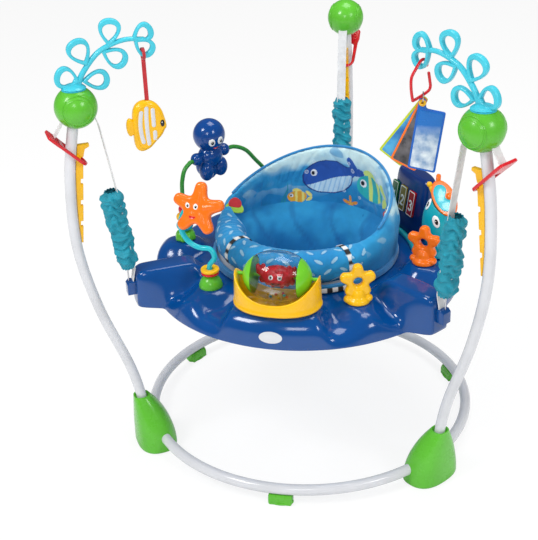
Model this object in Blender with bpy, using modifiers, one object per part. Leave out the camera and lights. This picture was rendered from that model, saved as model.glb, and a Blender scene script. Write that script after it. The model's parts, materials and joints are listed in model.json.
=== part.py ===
"""Baby activity jumper: a ring base with three curved posts, a sprung toy tray and a turning seat.

Sizes are in metres, +Z is up and the front is towards -Y. Pieces are modelled round the centre of
the base ring; the last step moves them so that the middle of the footprint is the origin.
"""

import bmesh
import bpy
from math import atan2, cos, degrees, hypot, pi, radians, sin, sqrt
from mathutils import Euler, Matrix, Vector

GAP = 0.0003

# Base ring, feet and hubs
RING_RADIUS = 0.36
RING_HEIGHT = 0.032
RING_TUBE = 0.0115
RING_BREAK = 0.0075
RING_STEP = 9.0
FOOT_LENGTH = 0.056
FOOT_WIDTH = 0.034
FOOT_HEIGHT = 0.027
FOOT_TURN = 3.5
HUB_HEIGHT = 0.124
HUB_CENTRE = RING_RADIUS + 0.008
HUB_DEPTH = 0.044
HUB_WIDTH = 0.063
HUB_MOUTH = 0.0175
POST_ANGLES = {"left": 213.0, "right": 327.0, "back": 90.0}

# The two heights that the rest is measured from: the heads' centres and the tray's upper face
HEAD_HEIGHT = 0.798
TRAY_TOP = 0.402

# Posts: the centre line in the radial plane, as (distance from the ring's axis, height)
POST_TUBE = 0.011
POST_LINE = (
    (RING_RADIUS + 0.026, 0.051), (RING_RADIUS + 0.031, 0.118), (RING_RADIUS + 0.051, 0.208),
    (0.461, HEAD_HEIGHT - 0.443), (0.491, HEAD_HEIGHT - 0.295), (0.489, HEAD_HEIGHT - 0.147),
    (0.4685, HEAD_HEIGHT - 0.023),
)
POST_POINTS = 13

# Heads on the posts
HEAD_CENTRE = (0.461, HEAD_HEIGHT)
HEAD_RADIUS = 0.042
HEAD_CAP_RADIUS = 0.0275
HEAD_CAP_REACH = 0.0348

# Height straps: webbing from the slider, over the bar in the head and down to the tray
STRAP_THICKNESS = 0.0016
STRAP_WIDTH = 0.020
STRAP_ARCH = 0.0265
STRAP_ARCH_CENTRE = (0.459, HEAD_HEIGHT - 0.009)
STRAP_OUTER_END = (0.5095, HEAD_HEIGHT - 0.0535)
STRAP_OUTER_BEND = (0.4945, HEAD_HEIGHT - 0.032)
STRAP_INNER_BEND = (0.4215, HEAD_HEIGHT - 0.041)

# Height racks and sliders
RACK_TOP = HEAD_HEIGHT - 0.076
RACK_BOTTOM = HEAD_HEIGHT - 0.284
RACK_WIDTH = 0.010
RACK_TIP_AT_TOP = 0.4590
NOTCH_TOP = HEAD_HEIGHT - 0.108
NOTCH_PITCH = 0.045
NOTCH_COUNT = 4
NOTCH_DEPTH = 0.005
NOTCH_HEIGHT = 0.012
SLIDE_LEAN = 0.107
SLIDER_TILT = 45.8
SLIDER_THICKNESS = 0.006
SLIDER_CENTRE = (0.4907, HEAD_HEIGHT - 0.0795)
SLIDER_INNER = 0.0545
SLIDER_OUTER = 0.046
SLIDER_BAR = 0.0065
SLIDER_NECK = 0.0205
SLIDER_PADDLE = 0.025
SLIDER_HOLE_HALF = 0.0135
SLIDER_HOLE_OUTER = 0.008

# Tray
TRAY_HOLE = 0.178
TRAY_RING_SEAT = 0.200
TRAY_FRONT_DROP = 0.024
TRAY_LOBE = 0.333
TRAY_ARM_REACH = 0.382
TRAY_ARM_HALF = 0.031
TRAY_ARM_BLEND = 0.011
TRAY_ARM_TOP = TRAY_TOP + 0.032
TRAY_ARM_START = 0.215
TRAY_ARM_RISE = 0.045
TRAY_RIM = TRAY_TOP - 0.055
TRAY_ARM_RIM = TRAY_TOP - 0.050
TRAY_SKIRT_RUN = 0.042
TRAY_ARM_SKIRT_RUN = 0.014
TRAY_WALL = 0.0045
LUG_REACH = 0.020
LUG_WIDTH = 0.024
LUG_HEIGHT = 0.030
LUG_TOP = TRAY_TOP + 0.006
MOUND_TOP_RADIUS = 0.030
MOUND_FOOT_RADIUS = 0.047
MOUND_SIDES = 10

# Springs and their gathered sleeves: they stand over the arms' lugs and lean towards the heads.
# HANGER_LEAN is how far up the strap's inner run the sleeve ends, as a share of that run's lean.
HANGER_LEAN = 0.5035
STRAP_TRAY_END = (TRAY_ARM_REACH + 0.0035, LUG_TOP + GAP)
STRAP_SLEEVE_FOOT = (TRAY_ARM_REACH - 0.0028, LUG_TOP + 0.0305)
STRAP_SLEEVE_TOP = (
    STRAP_SLEEVE_FOOT[0] + (STRAP_INNER_BEND[0] - STRAP_SLEEVE_FOOT[0]) * HANGER_LEAN, 0.622,
)
SPRING_WIRE = 0.0016
SPRING_RADIUS = 0.0105
SPRING_CURLS = 5
SPRING_LUG_AT = TRAY_ARM_REACH + 0.0112
SPRING_EYE = 0.598
SPRING_FOOT = (STRAP_SLEEVE_FOOT[0] + 0.0156, LUG_TOP + 0.037)
SPRING_TOP = (STRAP_SLEEVE_TOP[0] + 0.0117, 0.600)
SLEEVE_FOOT = (STRAP_SLEEVE_FOOT[0] + 0.0120, LUG_TOP + 0.0305)
SLEEVE_TOP = (STRAP_SLEEVE_TOP[0] + 0.0107, 0.615)
SLEEVE_BORE = 0.0168
SLEEVE_WALL = 0.0032
SLEEVE_RUFFLE = 0.0030
SLEEVE_RUFFLES = 4.5
SLEEVE_RINGS = 16

# Turning seat
SEAT_STEPS = 24
SEAT_RING_INNER = 0.169
SEAT_RING_THICKNESS = 0.007
SEAT_COLLAR_DEPTH = 0.018
SEAT_RUN = 0.0008
SEAT_BACK_ANGLE = 70.0
SEAT_BACK_TOP = TRAY_TOP + 0.178
SEAT_FRONT_TOP = TRAY_TOP + 0.080
SEAT_BACK_RIM = 0.186
SEAT_SIDE = 0.1995
SEAT_WALL = 0.007
SEAT_POUCH_DEPTH = 0.175
BOLSTER_RADIUS = 0.033
BOLSTER_SPREAD = 84.0
LEG_HOLE_RADIUS = 0.050
LEG_HOLE_SPREAD = 36.0
LEG_HOLE_CENTRE = (0.135, TRAY_TOP - 0.112)

# Globe toy at the front
PLATFORM_TOP = TRAY_TOP + 0.012
GLOBE_AT = (0.0045, -0.2580, PLATFORM_TOP + 0.0585)
GLOBE_HALF = 0.070
GLOBE_RADIUS = 0.0525
GLOBE_SHELL_HALF = 0.046
GLOBE_SHELL_WALL = 0.002
GLOBE_AXLE = 0.0035
GLOBE_AXLE_HALF = 0.084
CRADLE_HALF_LENGTH = 0.090
CRADLE_FRONT_DEPTH = 0.068
CRADLE_BACK_DEPTH = 0.041
CRADLE_WALL = 0.006
CRADLE_FLOOR = 0.002
CRADLE_FRONT_RISE = 0.025
CRADLE_BACK_RISE = 0.010
CRADLE_TIP_RISE = 0.068
CRAB_RADIUS = 0.030

# Spinner toy with a bent wire, a ring and a star, front left
SPIRAL_AT = (-0.153, -0.203)
SPIRAL_MOUND_TOP = TRAY_TOP + 0.005
SPIRAL_DOME_RADIUS = 0.0245
SPIRAL_DOME_HEIGHT = 0.027
SPIRAL_WIRE = 0.0055
SPIRAL_LINE = (
    (0.0, 0.0, 0.0), (0.0, 0.0, 0.020), (0.011, 0.0, 0.038), (0.003, 0.001, 0.056), (-0.022, 0.002, 0.058),
    (-0.044, 0.003, 0.070), (-0.057, 0.004, 0.094), (-0.055, 0.006, 0.121), (-0.042, 0.012, 0.140),
)
SPIRAL_STAR = (-0.012, -0.013, 0.151)
RINGS_RADIUS = 0.0195
RINGS_HEIGHT = 0.014
STAR_REACH = 0.051
STAR_WAIST = 0.029
STAR_THICKNESS = 0.020
STAR_TILT = 20.0
STAR_TURN = -6.0

# Fixed stars with a hole for links
LINK_STAR_REACH = 0.0365
LINK_STAR_WAIST = 0.0235
LINK_STAR_HOLE = 0.0088
LINK_STAR_THICKNESS = 0.018
LINK_STAR_STEM = 0.021
LINK_STAR_RISE = 0.046
LINK_STARS = {
    "link_star_front": (0.155, -0.206, TRAY_TOP + 0.002, 21.0),
    "link_star_side": (0.266, -0.056, TRAY_TOP + 0.025, -16.0),
}

# Arch toy, left
ARCH_FOOT = (-0.267, -0.022)
ARCH_FAR_FOOT = (-0.114, 0.245)
ARCH_MOUND_TOP = TRAY_TOP + 0.018
ARCH_WIRE = 0.0047
ARCH_TOP = ARCH_MOUND_TOP + 0.172
ARCH_SHOULDER = 0.040
ARCH_LEAN = 0.095
ARCH_BASE_RADIUS = 0.0185
ARCH_BASE_HEIGHT = 0.060
ARCH_SOCKET = 0.009
BEAD_RADIUS = 0.0115
OCTOPUS_ALONG = 0.088
OCTOPUS_HEAD = 0.036
OCTOPUS_HEAD_RISE = 0.047

# Console with keys and a turtle, right
CONSOLE_ANGLE = 38.0
CONSOLE_FOOT = (0.236, 0.308)
CONSOLE_TOP = (0.258, 0.302)
CONSOLE_RISE = TRAY_TOP + 0.132
CONSOLE_HALF = 0.067
CONSOLE_FACE_RISE = 0.072
CONSOLE_KEY_OFFSET = 0.0095
KEY_WIDTH = 0.026
KEY_HEIGHT = 0.058
KEY_DEPTH = 0.006
KEY_PROUD = 0.0035
KEY_TRAVEL = 0.003
KEY_PITCH = 0.0365
TURTLE_AT = (0.282, 0.055, TRAY_TOP + 0.064)
TURTLE_RADII = (0.036, 0.038, 0.066)
TURTLE_NECK = 0.72
FLAP_AT = (0.292, 0.052, TURTLE_AT[2] + 0.061)
FLAP_RADII = (0.024, 0.044)
FLAP_THICKNESS = 0.010
# Directions in the console's frame: outwards, along the tray, up
BROW_ALONG = (0.0, -0.81, -0.58)
BROW_NORMAL = (-0.70, -0.45, 0.63)

# Leaf bars on the two front posts, as (distance from the ring's axis, height over the heads' centres)
LEAF_THICKNESS = 0.012
LEAF_STEM = 0.0048
LEAF_STEM_LINE = (
    (0.452, 0.040), (0.441, 0.064), (0.412, 0.097), (0.384, 0.112), (0.352, 0.119), (0.318, 0.116),
)
# Each leaf: root, tip and half width
LEAVES = (
    ((0.447, 0.047), (0.4935, 0.068), 0.0215),
    ((0.431, 0.078), (0.4520, 0.130), 0.0225),
    ((0.386, 0.110), (0.3780, 0.163), 0.0215),
    ((0.340, 0.1185), (0.2990, 0.136), 0.0185),
    ((0.337, 0.118), (0.3010, 0.086), 0.0180),
    ((0.401, 0.103), (0.3540, 0.074), 0.0200),
    ((0.444, 0.049), (0.3900, 0.047), 0.0200),
)
LEAF_BAND = 0.0072
LEAF_ROOT = 0.010
LEAF_END = 0.011
SADDLE_RADIUS = 0.024
SADDLE_HEIGHT = 0.011

# Hanging toys
FISH_HANG = (0.3215, 0.0, HEAD_HEIGHT + 0.0875)
FISH_LOOP = 0.0108
FISH_STRAP_WIDTH = 0.006
FISH_STRAP_DROP = 0.099
FISH_HALF_WIDTH = 0.0325
FISH_HALF_HEIGHT = 0.0515
FISH_THICKNESS = 0.022
# Shares of the half width and half height, with the nose towards the ring's axis
FISH_OUTLINE = (
    (0.56, 0.94), (0.05, 1.00), (-0.46, 0.87), (-0.79, 0.61), (-0.95, 0.31), (-1.06, -0.08), (-0.93, -0.23),
    (-0.74, -0.43), (-0.32, -0.68), (0.05, -0.89), (0.51, -0.99), (0.83, -0.91), (0.97, -0.69), (1.00, -0.29),
    (1.00, 0.31), (0.88, 0.71),
)
FISH_TAIL_OUTLINE = (
    (0.028, 0.008), (0.039, 0.019), (0.044, 0.016), (0.0455, 0.001), (0.043, -0.016), (0.039, -0.018),
    (0.028, -0.008),
)
LINK_HANG = (0.3205, 0.0, HEAD_HEIGHT + 0.0862)
LINK_ARC = 0.0118
LINK_ARC_TURNS = (-10, 25, 60, 95, 130)
LINK_WIRE = 0.0028
LINK_LINE = (
    (-0.020, -0.003), (-0.030, -0.015), (-0.031, -0.033), (-0.0265, -0.056), (-0.021, -0.0595),
    (0.015, -0.0525), (0.0225, -0.045), (0.021, -0.034), (0.017, -0.017),
)
LINK_LOW = (0.003, -0.0551)
CARD_RING_RADIUS = 0.0095
CARD_RING_WIRE = 0.0011
# Turns about the upright axis, from the radial plane of the right corner
CARD_RING_TURN = 42.0
CARD_TURN = 30.0
CARD_TILTS = (8.0, 24.0)
CARD_WIDTH = 0.053
CARD_HEIGHT = 0.132
CARD_THICKNESS = 0.0032
CARD_HOLE = 0.0040
CARD_HOLE_INSET = 0.0075
CARD_TAB = 0.010
CARD_SPREAD = 0.0028

SIDES = 8


def reset_scene():
    for obj in list(bpy.data.objects):
        bpy.data.objects.remove(obj, do_unlink=True)


def new_collection(name):
    collection = bpy.data.collections.new(name)
    bpy.context.scene.collection.children.link(collection)
    return collection


reset_scene()
PARTS = new_collection("baby_activity_jumper")
CUTTERS = new_collection("cutters")


def material(name, colour, roughness=0.35, metallic=0.0, alpha=1.0):
    made = bpy.data.materials.new(name)
    made.use_nodes = True
    shader = made.node_tree.nodes["Principled BSDF"]
    shader.inputs["Base Color"].default_value = (*colour, 1.0)
    shader.inputs["Roughness"].default_value = roughness
    shader.inputs["Metallic"].default_value = metallic
    shader.inputs["Alpha"].default_value = alpha
    made.diffuse_color = (*colour, alpha)
    return made


def empty(name, parent=None, location=(0, 0, 0), rotation=(0, 0, 0)):
    made = bpy.data.objects.new(name, None)
    made.empty_display_size = 0.02
    PARTS.objects.link(made)
    made.parent = parent
    made.location = location
    made.rotation_euler = rotation
    return made


def finish(obj, name, colour, parent, location=(0, 0, 0), rotation=(0, 0, 0), roughness=0.35, metallic=0.0,
           alpha=1.0):
    """Names the object, gives it its own material and hangs it under its parent."""
    obj.name = name
    obj.data.name = name
    obj.data.materials.clear()
    obj.data.materials.append(material(name, colour, roughness, metallic, alpha))
    obj.parent = parent
    obj.location = location
    obj.rotation_euler = rotation
    if obj.type == "MESH":
        obj.data.shade_smooth()
        obj.data.set_sharp_from_angle(angle=radians(40))
    return obj


def mesh_object(name, shape):
    mesh = bpy.data.meshes.new(name)
    bmesh.ops.recalc_face_normals(shape, faces=shape.faces)
    shape.to_mesh(mesh)
    shape.free()
    made = bpy.data.objects.new(name, mesh)
    PARTS.objects.link(made)
    return made


def as_cutter(obj):
    for collection in list(obj.users_collection):
        collection.objects.unlink(obj)
    CUTTERS.objects.link(obj)
    obj.hide_render = True
    obj.display_type = "WIRE"
    return obj


def boolean(obj, other, operation="DIFFERENCE", solver="EXACT"):
    """Cuts with, or joins, another object that shares this one's parent frame."""
    modifier = obj.modifiers.new(other.name, "BOOLEAN")
    modifier.operation = operation
    modifier.solver = solver
    modifier.object = as_cutter(other)
    return obj


def baked(obj):
    """The object as a plain mesh in its parent's frame, with welded caps, and the old object removed."""
    bpy.context.view_layer.update()
    graph = bpy.context.evaluated_depsgraph_get()
    mesh = bpy.data.meshes.new_from_object(obj.evaluated_get(graph))
    shape = bmesh.new()
    shape.from_mesh(mesh)
    bmesh.ops.remove_doubles(shape, verts=shape.verts, dist=0.00001)
    bpy.data.meshes.remove(mesh)
    name, matrix = obj.name, obj.matrix_world.copy()
    bpy.data.objects.remove(obj, do_unlink=True)
    shape.transform(matrix)
    return mesh_object(name, shape)


def tube(name, points, radius, sides=SIDES, cyclic=False):
    """A curve object with a round bevel along a list of points."""
    curve = bpy.data.curves.new(name, "CURVE")
    curve.dimensions = "3D"
    spline = curve.splines.new("POLY")
    spline.points.add(len(points) - 1)
    for point, place in zip(spline.points, points):
        point.co = (*place, 1.0)
    spline.use_cyclic_u = cyclic
    curve.bevel_depth = radius
    curve.bevel_resolution = (sides - 4) // 2
    curve.use_fill_caps = not cyclic
    made = bpy.data.objects.new(name, curve)
    PARTS.objects.link(made)
    return made


def plate(name, outlines, thickness, bevel=0.0):
    """A flat outline, with any holes after it, as a 2D curve with a thickness along its own Z."""
    curve = bpy.data.curves.new(name, "CURVE")
    curve.dimensions = "2D"
    curve.fill_mode = "BOTH"
    curve.extrude = thickness / 2 - bevel
    curve.bevel_depth = bevel
    curve.bevel_resolution = 0
    curve.offset = -bevel
    for outline in outlines:
        spline = curve.splines.new("POLY")
        spline.points.add(len(outline) - 1)
        for point, (x, y) in zip(spline.points, outline):
            point.co = (x, y, 0.0, 1.0)
        spline.use_cyclic_u = True
    made = bpy.data.objects.new(name, curve)
    PARTS.objects.link(made)
    return made


def loft(name, rings, closed=False):
    """Faces between rings of equal length; the ends are capped, or joined to each other where closed."""
    shape = bmesh.new()
    rows = []
    for ring in rings:
        if len(ring) == 1:
            vertex = shape.verts.new(ring[0])
            rows.append([vertex] * max(len(other) for other in rings))
        else:
            rows.append([shape.verts.new(place) for place in ring])
    count = len(rows[0])
    pairs = list(zip(rows, rows[1:])) + ([(rows[-1], rows[0])] if closed else [])
    for low, high in pairs:
        for i in range(count):
            j = (i + 1) % count
            corners = [low[i], low[j], high[j], high[i]]
            face = [v for k, v in enumerate(corners) if v not in corners[:k]]
            shape.faces.new(face)
    if not closed:
        for row in (rows[0], rows[-1]):
            if row[0] is not row[1]:
                shape.faces.new(row)
    return mesh_object(name, shape)


def turned(name, profile, steps=24):
    """A profile of (radius, height) points, run down the outer side, turned round Z."""
    shape = bmesh.new()
    vertices = [shape.verts.new((r, 0, z)) for r, z in profile]
    for first, second in zip(vertices, vertices[1:]):
        shape.edges.new((first, second))
    if profile[0][0] > 0 and profile[-1][0] > 0:
        shape.edges.new((vertices[-1], vertices[0]))
    mesh = bpy.data.meshes.new(name)
    shape.to_mesh(mesh)
    shape.free()
    made = bpy.data.objects.new(name, mesh)
    PARTS.objects.link(made)
    screw = made.modifiers.new("turn", "SCREW")
    screw.steps = screw.render_steps = steps
    screw.use_merge_vertices = True
    screw.merge_threshold = 0.00001
    return made


def box(name, size, centre=(0, 0, 0), bevel=0.0, segments=2):
    shape = bmesh.new()
    bmesh.ops.create_cube(shape, size=1.0)
    bmesh.ops.scale(shape, vec=size, verts=shape.verts)
    bmesh.ops.translate(shape, vec=centre, verts=shape.verts)
    made = mesh_object(name, shape)
    if bevel:
        rounding = made.modifiers.new("round", "BEVEL")
        rounding.width = bevel
        rounding.segments = segments
    return made


def ball(name, radii, centre=(0, 0, 0), segments=16, rings=10):
    shape = bmesh.new()
    bmesh.ops.create_uvsphere(shape, u_segments=segments, v_segments=rings, radius=1.0)
    bmesh.ops.scale(shape, vec=radii, verts=shape.verts)
    bmesh.ops.translate(shape, vec=centre, verts=shape.verts)
    return mesh_object(name, shape)


def cylinder(name, radius, length, matrix=Matrix.Identity(4), segments=24):
    shape = bmesh.new()
    bmesh.ops.create_cone(shape, cap_ends=True, segments=segments, radius1=radius, radius2=radius,
                          depth=length, matrix=matrix)
    return mesh_object(name, shape)


def smooth_line(points, count):
    """Evenly numbered points on a smooth curve through the given ones."""
    points = [Vector(p) for p in points]
    ends = [points[0] * 2 - points[1], *points, points[-1] * 2 - points[-2]]
    spans = len(points) - 1
    line = []
    for i in range(count):
        u = i / (count - 1) * spans
        k = min(int(u), spans - 1)
        f = u - k
        a, b, c, d = ends[k:k + 4]
        line.append(((2 * b) + (c - a) * f + (2 * a - 5 * b + 4 * c - d) * f * f
                     + (3 * b - a - 3 * c + d) * f ** 3) / 2)
    return line


def blend(low, high, value):
    """0 below low, 1 above high, and a smooth step between."""
    f = min(1.0, max(0.0, (value - low) / (high - low)))
    return f * f * (3 - 2 * f)


def ribbon(line, thickness):
    """The closed outline of a strip of this thickness that follows a line in the plane."""
    left, right = [], []
    for i, point in enumerate(line):
        before, after = line[max(i - 1, 0)], line[min(i + 1, len(line) - 1)]
        along = (Vector(after) - Vector(before)).normalized()
        side = Vector((-along.y, along.x)) * thickness / 2
        left.append(Vector(point) + side)
        right.append(Vector(point) - side)
    return left + right[::-1]


def polar(angle, distance, height=0.0):
    a = radians(angle)
    return Vector((distance * cos(a), distance * sin(a), height))


# The radial plane of a corner: x outwards, y (local) up, thickness across.
RADIAL_PLANE = (pi / 2, 0, 0)


def post_radius_at(height):
    """Distance of the post's centre line from the ring's axis at a height."""
    path = post_path()
    for low, high in zip(path, path[1:]):
        if low.z <= height <= high.z:
            return low.x + (high.x - low.x) * (height - low.z) / (high.z - low.z)
    return path[-1].x


def post_path(top_extra=0.0):
    path = [Vector((p.x, 0, p.y)) for p in smooth_line(POST_LINE, POST_POINTS)]
    if top_extra:
        path.append(path[-1] + (path[-1] - path[-2]).normalized() * top_extra)
    return path


def ring_arcs():
    """The base ring's three tubes as lists of angles, from one hub to the next."""
    stop = degrees(RING_BREAK / RING_RADIUS)
    arcs = {}
    ends = (("front", "left", "right"), ("right", "right", "back"), ("left", "back", "left"))
    for side, first, second in ends:
        start = POST_ANGLES[first] + stop
        end = POST_ANGLES[second] - stop
        end += 360.0 if end < start else 0.0
        count = round((end - start) / RING_STEP)
        arcs[side] = [start + (end - start) * i / count for i in range(count + 1)]
    return arcs


def ring_points(angles, turned_by=0.0):
    return [polar(angle - turned_by, RING_RADIUS, RING_HEIGHT) for angle in angles]


WHITE = (0.83, 0.84, 0.86)
GREEN = (0.17, 0.56, 0.05)
CYAN = (0.10, 0.62, 0.70)
RED = (0.72, 0.015, 0.03)
YELLOW = (0.95, 0.55, 0.0)
TRAY_BLUE = (0.0, 0.06, 0.33)
ORANGE = (0.95, 0.18, 0.005)
TEAL = (0.0, 0.36, 0.45)
SEAT_BLUE = (0.03, 0.30, 0.68)
OCTOPUS_BLUE = (0.005, 0.05, 0.28)
STEEL = (0.6, 0.6, 0.62)


def build_base(root):
    corners = {name: empty(f"{name}_corner", root, rotation=(0, 0, radians(angle)))
               for name, angle in POST_ANGLES.items()}
    for side, angles in ring_arcs().items():
        finish(tube(f"base_tube_{side}", ring_points(angles), RING_TUBE), f"base_tube_{side}", WHITE, root,
               roughness=0.3)
        build_foot(side, angles, root)
    return corners


def build_foot(side, angles, root):
    angle = (angles[0] + angles[-1]) / 2 + FOOT_TURN
    foot = box("foot", (FOOT_WIDTH, FOOT_LENGTH, FOOT_HEIGHT), (0, 0, FOOT_HEIGHT / 2), 0.007, 1)
    near = [a for a in angles if abs(a - angle) < 2.5 * RING_STEP]
    groove = [p - Vector((RING_RADIUS, 0, 0)) for p in ring_points(near, angle)]
    boolean(foot, baked(tube("foot_groove", groove, RING_TUBE + GAP)))
    finish(baked(foot), f"ring_foot_{side}", GREEN, root, polar(angle, RING_RADIUS), (0, 0, radians(angle)))


def build_hub(side, corner):
    levels = (0.0, 0.05, 0.28, 0.54, 0.80, 1.0)
    mouth = post_radius_at(HUB_HEIGHT)
    rings = []
    for u in levels:
        narrow = u ** 1.6
        pinch = 1.0 - 0.05 * (u == 0.0)
        x0 = HUB_CENTRE + (mouth - HUB_CENTRE) * narrow
        depth = (HUB_DEPTH + (HUB_MOUTH - HUB_DEPTH) * narrow) * pinch
        width = (HUB_WIDTH + (HUB_MOUTH - HUB_WIDTH) * u ** 1.25) * pinch
        ring = []
        for i in range(14):
            a = 2 * pi * i / 14
            c, s = cos(a), sin(a)
            ring.append((x0 + depth * abs(c) ** 0.8 * (1 if c > 0 else -1),
                         width * abs(s) ** 0.8 * (1 if s > 0 else -1), HUB_HEIGHT * u))
        rings.append(ring)
    hub = loft(f"hub_{side}", rings)
    angle = POST_ANGLES[side]
    near = []
    for angles in ring_arcs().values():
        near += [(a - angle + 180) % 360 - 180 for a in angles]
    near = sorted(a for a in near if abs(a) < 2.6 * RING_STEP)
    boolean(hub, baked(tube(f"hub_bore_{side}", ring_points(near), RING_TUBE + GAP)))
    socket = post_path()[:5]
    socket[0] = socket[0] - (socket[1] - socket[0]).normalized() * GAP
    boolean(hub, baked(tube(f"hub_socket_{side}", socket, POST_TUBE + GAP)))
    finish(baked(hub), f"base_hub_{side}", GREEN, corner)


def build_post(side, corner):
    finish(tube(f"post_{side}", post_path(), POST_TUBE), f"post_{side}", WHITE, corner, roughness=0.3)


def strap_line(inside_only=False):
    """The webbing's centre line in the radial plane, from the slider to the tray."""
    cx, cz = STRAP_ARCH_CENTRE
    arch = [(cx + STRAP_ARCH * cos(radians(a)), cz + STRAP_ARCH * sin(radians(a)))
            for a in (0, 36, 72, 108, 144, 180)]
    outer = [STRAP_OUTER_END, STRAP_OUTER_BEND]
    inner = [STRAP_INNER_BEND]
    if inside_only:
        return [(p[0], p[1]) for p in [outer[1], *arch, inner[0]]]
    steps = 5
    down = [tuple(Vector(inner[0]).lerp(Vector(STRAP_SLEEVE_TOP), i / steps)) for i in range(1, steps + 1)]
    last = [tuple(Vector(STRAP_SLEEVE_TOP).lerp(Vector(STRAP_SLEEVE_FOOT), i / steps))
            for i in range(1, steps + 1)]
    return [*outer, *arch, *inner, *down, *last, STRAP_TRAY_END]


def build_head(side, corner):
    head = ball(f"head_{side}", (HEAD_RADIUS,) * 3, segments=14, rings=8)
    across = Matrix.Rotation(pi / 2, 4, "X")
    boolean(head, cylinder(f"head_cap_{side}", HEAD_CAP_RADIUS, 2 * HEAD_CAP_REACH, across, 14), "UNION")
    head = baked(head)
    shift = Vector((HEAD_CENTRE[0], 0, HEAD_CENTRE[1]))
    socket = [p - shift for p in post_path(GAP)[-5:]]
    boolean(head, baked(tube(f"head_socket_{side}", socket, POST_TUBE + GAP)))
    line = [Vector(p) for p in strap_line(inside_only=True)]
    first = line[0] + (line[0] - line[1]).normalized() * HEAD_RADIUS / 2
    last = line[-1] + (line[-1] - line[-2]).normalized() * HEAD_RADIUS / 2
    slot_line = [first, *line, last]
    slot = plate(f"head_slot_{side}", [ribbon(slot_line, STRAP_THICKNESS + 2 * GAP)], STRAP_WIDTH + 4 * GAP)
    slot.rotation_euler = RADIAL_PLANE
    slot.location = -shift
    boolean(head, baked(slot))
    finish(baked(head), f"post_head_{side}", GREEN, corner, tuple(shift))


def build_strap(side, corner):
    strap = plate(f"strap_{side}", [ribbon(strap_line(), STRAP_THICKNESS)], STRAP_WIDTH)
    finish(strap, f"height_strap_{side}", WHITE, corner, rotation=RADIAL_PLANE, roughness=0.8)


def rack_tip(height):
    return RACK_TIP_AT_TOP + SLIDE_LEAN * (NOTCH_TOP - height)


def build_rack(side, corner):
    inner = [(rack_tip(RACK_TOP) - 0.002, RACK_TOP)]
    for i in range(NOTCH_COUNT):
        z = NOTCH_TOP - i * NOTCH_PITCH
        top = z + NOTCH_HEIGHT / 2
        low = z - NOTCH_HEIGHT / 2
        inner += [(rack_tip(top), top), (rack_tip(top) + NOTCH_DEPTH, top),
                  (rack_tip(low) + NOTCH_DEPTH, low), (rack_tip(low), low)]
    inner.append((rack_tip(RACK_BOTTOM), RACK_BOTTOM))
    levels = [p.z for p in post_path() if RACK_BOTTOM < p.z < RACK_TOP]
    outer = [(post_radius_at(z) - POST_TUBE - GAP, z) for z in (RACK_BOTTOM, *levels, RACK_TOP)]
    rack = baked(plate(f"rack_{side}", [inner + outer], RACK_WIDTH))
    finish(rack, f"height_rack_{side}", YELLOW, corner, rotation=RADIAL_PLANE)


def build_slider(side, corner):
    """A tilted plate round the post: its inner bar hooks the rack, its outer paddle holds the strap."""
    u_in, u_out, neck, paddle = -SLIDER_INNER, SLIDER_OUTER, SLIDER_NECK, SLIDER_PADDLE
    outline = [(u_out, -paddle + 0.006), (u_out, paddle - 0.006), (u_out - 0.006, paddle),
               (u_out - 0.024, paddle)]
    outline += [(u_in + neck - neck * sin(radians(a)), neck * cos(radians(a))) for a in (0, 30, 60, 90)]
    outline += [(x, -y) for x, y in outline[::-1] if abs(y) > 1e-9][:-2]
    outline = outline[:-1] if outline[-1] == outline[0] else outline
    half, hole_in, hole_out = SLIDER_HOLE_HALF, u_in + SLIDER_BAR, SLIDER_HOLE_OUTER
    hole = [(hole_in, -half * 0.6), (hole_in, half * 0.6), (hole_in + 0.008, half), (hole_out - 0.006, half),
            (hole_out, half * 0.55), (hole_out, -half * 0.55), (hole_out - 0.006, -half),
            (hole_in + 0.008, -half)]
    slider = plate(f"slider_{side}", [outline, hole], SLIDER_THICKNESS)
    tilt = Euler((0, -radians(SLIDER_TILT), 0))
    finish(slider, f"height_slider_{side}", RED, corner, (SLIDER_CENTRE[0], 0, SLIDER_CENTRE[1]), tilt)


def along(low, high, u):
    return Vector((low[0] + (high[0] - low[0]) * u, 0, low[1] + (high[1] - low[1]) * u))


def build_spring(side, corner):
    """A closed coil whose ends run along its axis; the curls' own gap is pitch less wire."""
    foot, top = Vector((SPRING_FOOT[0], 0, SPRING_FOOT[1])), Vector((SPRING_TOP[0], 0, SPRING_TOP[1]))
    axis = (top - foot).normalized()
    side_x = Vector((axis.z, 0, -axis.x))
    side_y = Vector((0, 1, 0))
    per_turn = 8
    length = (top - foot).length
    hook = 0.014
    pitch = (length - 2 * hook) / SPRING_CURLS
    lug = Vector((SPRING_LUG_AT, 0, LUG_TOP + GAP))
    points = [lug, lug + Vector((0, 0, 0.012)), foot, foot + axis * (hook * 0.6)]
    for i in range(SPRING_CURLS * per_turn + 1):
        a = 2 * pi * i / per_turn
        points.append(foot + axis * (hook + pitch * i / per_turn)
                      + SPRING_RADIUS * (side_x * cos(a) + side_y * sin(a)))
    strap = along(STRAP_SLEEVE_TOP, STRAP_SLEEVE_FOOT, (STRAP_SLEEVE_TOP[1] - SPRING_EYE)
                  / (STRAP_SLEEVE_TOP[1] - STRAP_SLEEVE_FOOT[1]))
    seat = strap + side_x * (STRAP_THICKNESS / 2 + GAP)
    points += [top - axis * (hook * 0.6), seat + side_x * 0.008, seat]
    print(f"{side} spring: least gap between curls {(pitch - 2 * SPRING_WIRE) * 1000:.2f} mm")
    finish(tube(f"spring_{side}", points, SPRING_WIRE, 4), f"spring_{side}", STEEL, corner,
           roughness=0.3, metallic=1.0)


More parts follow.
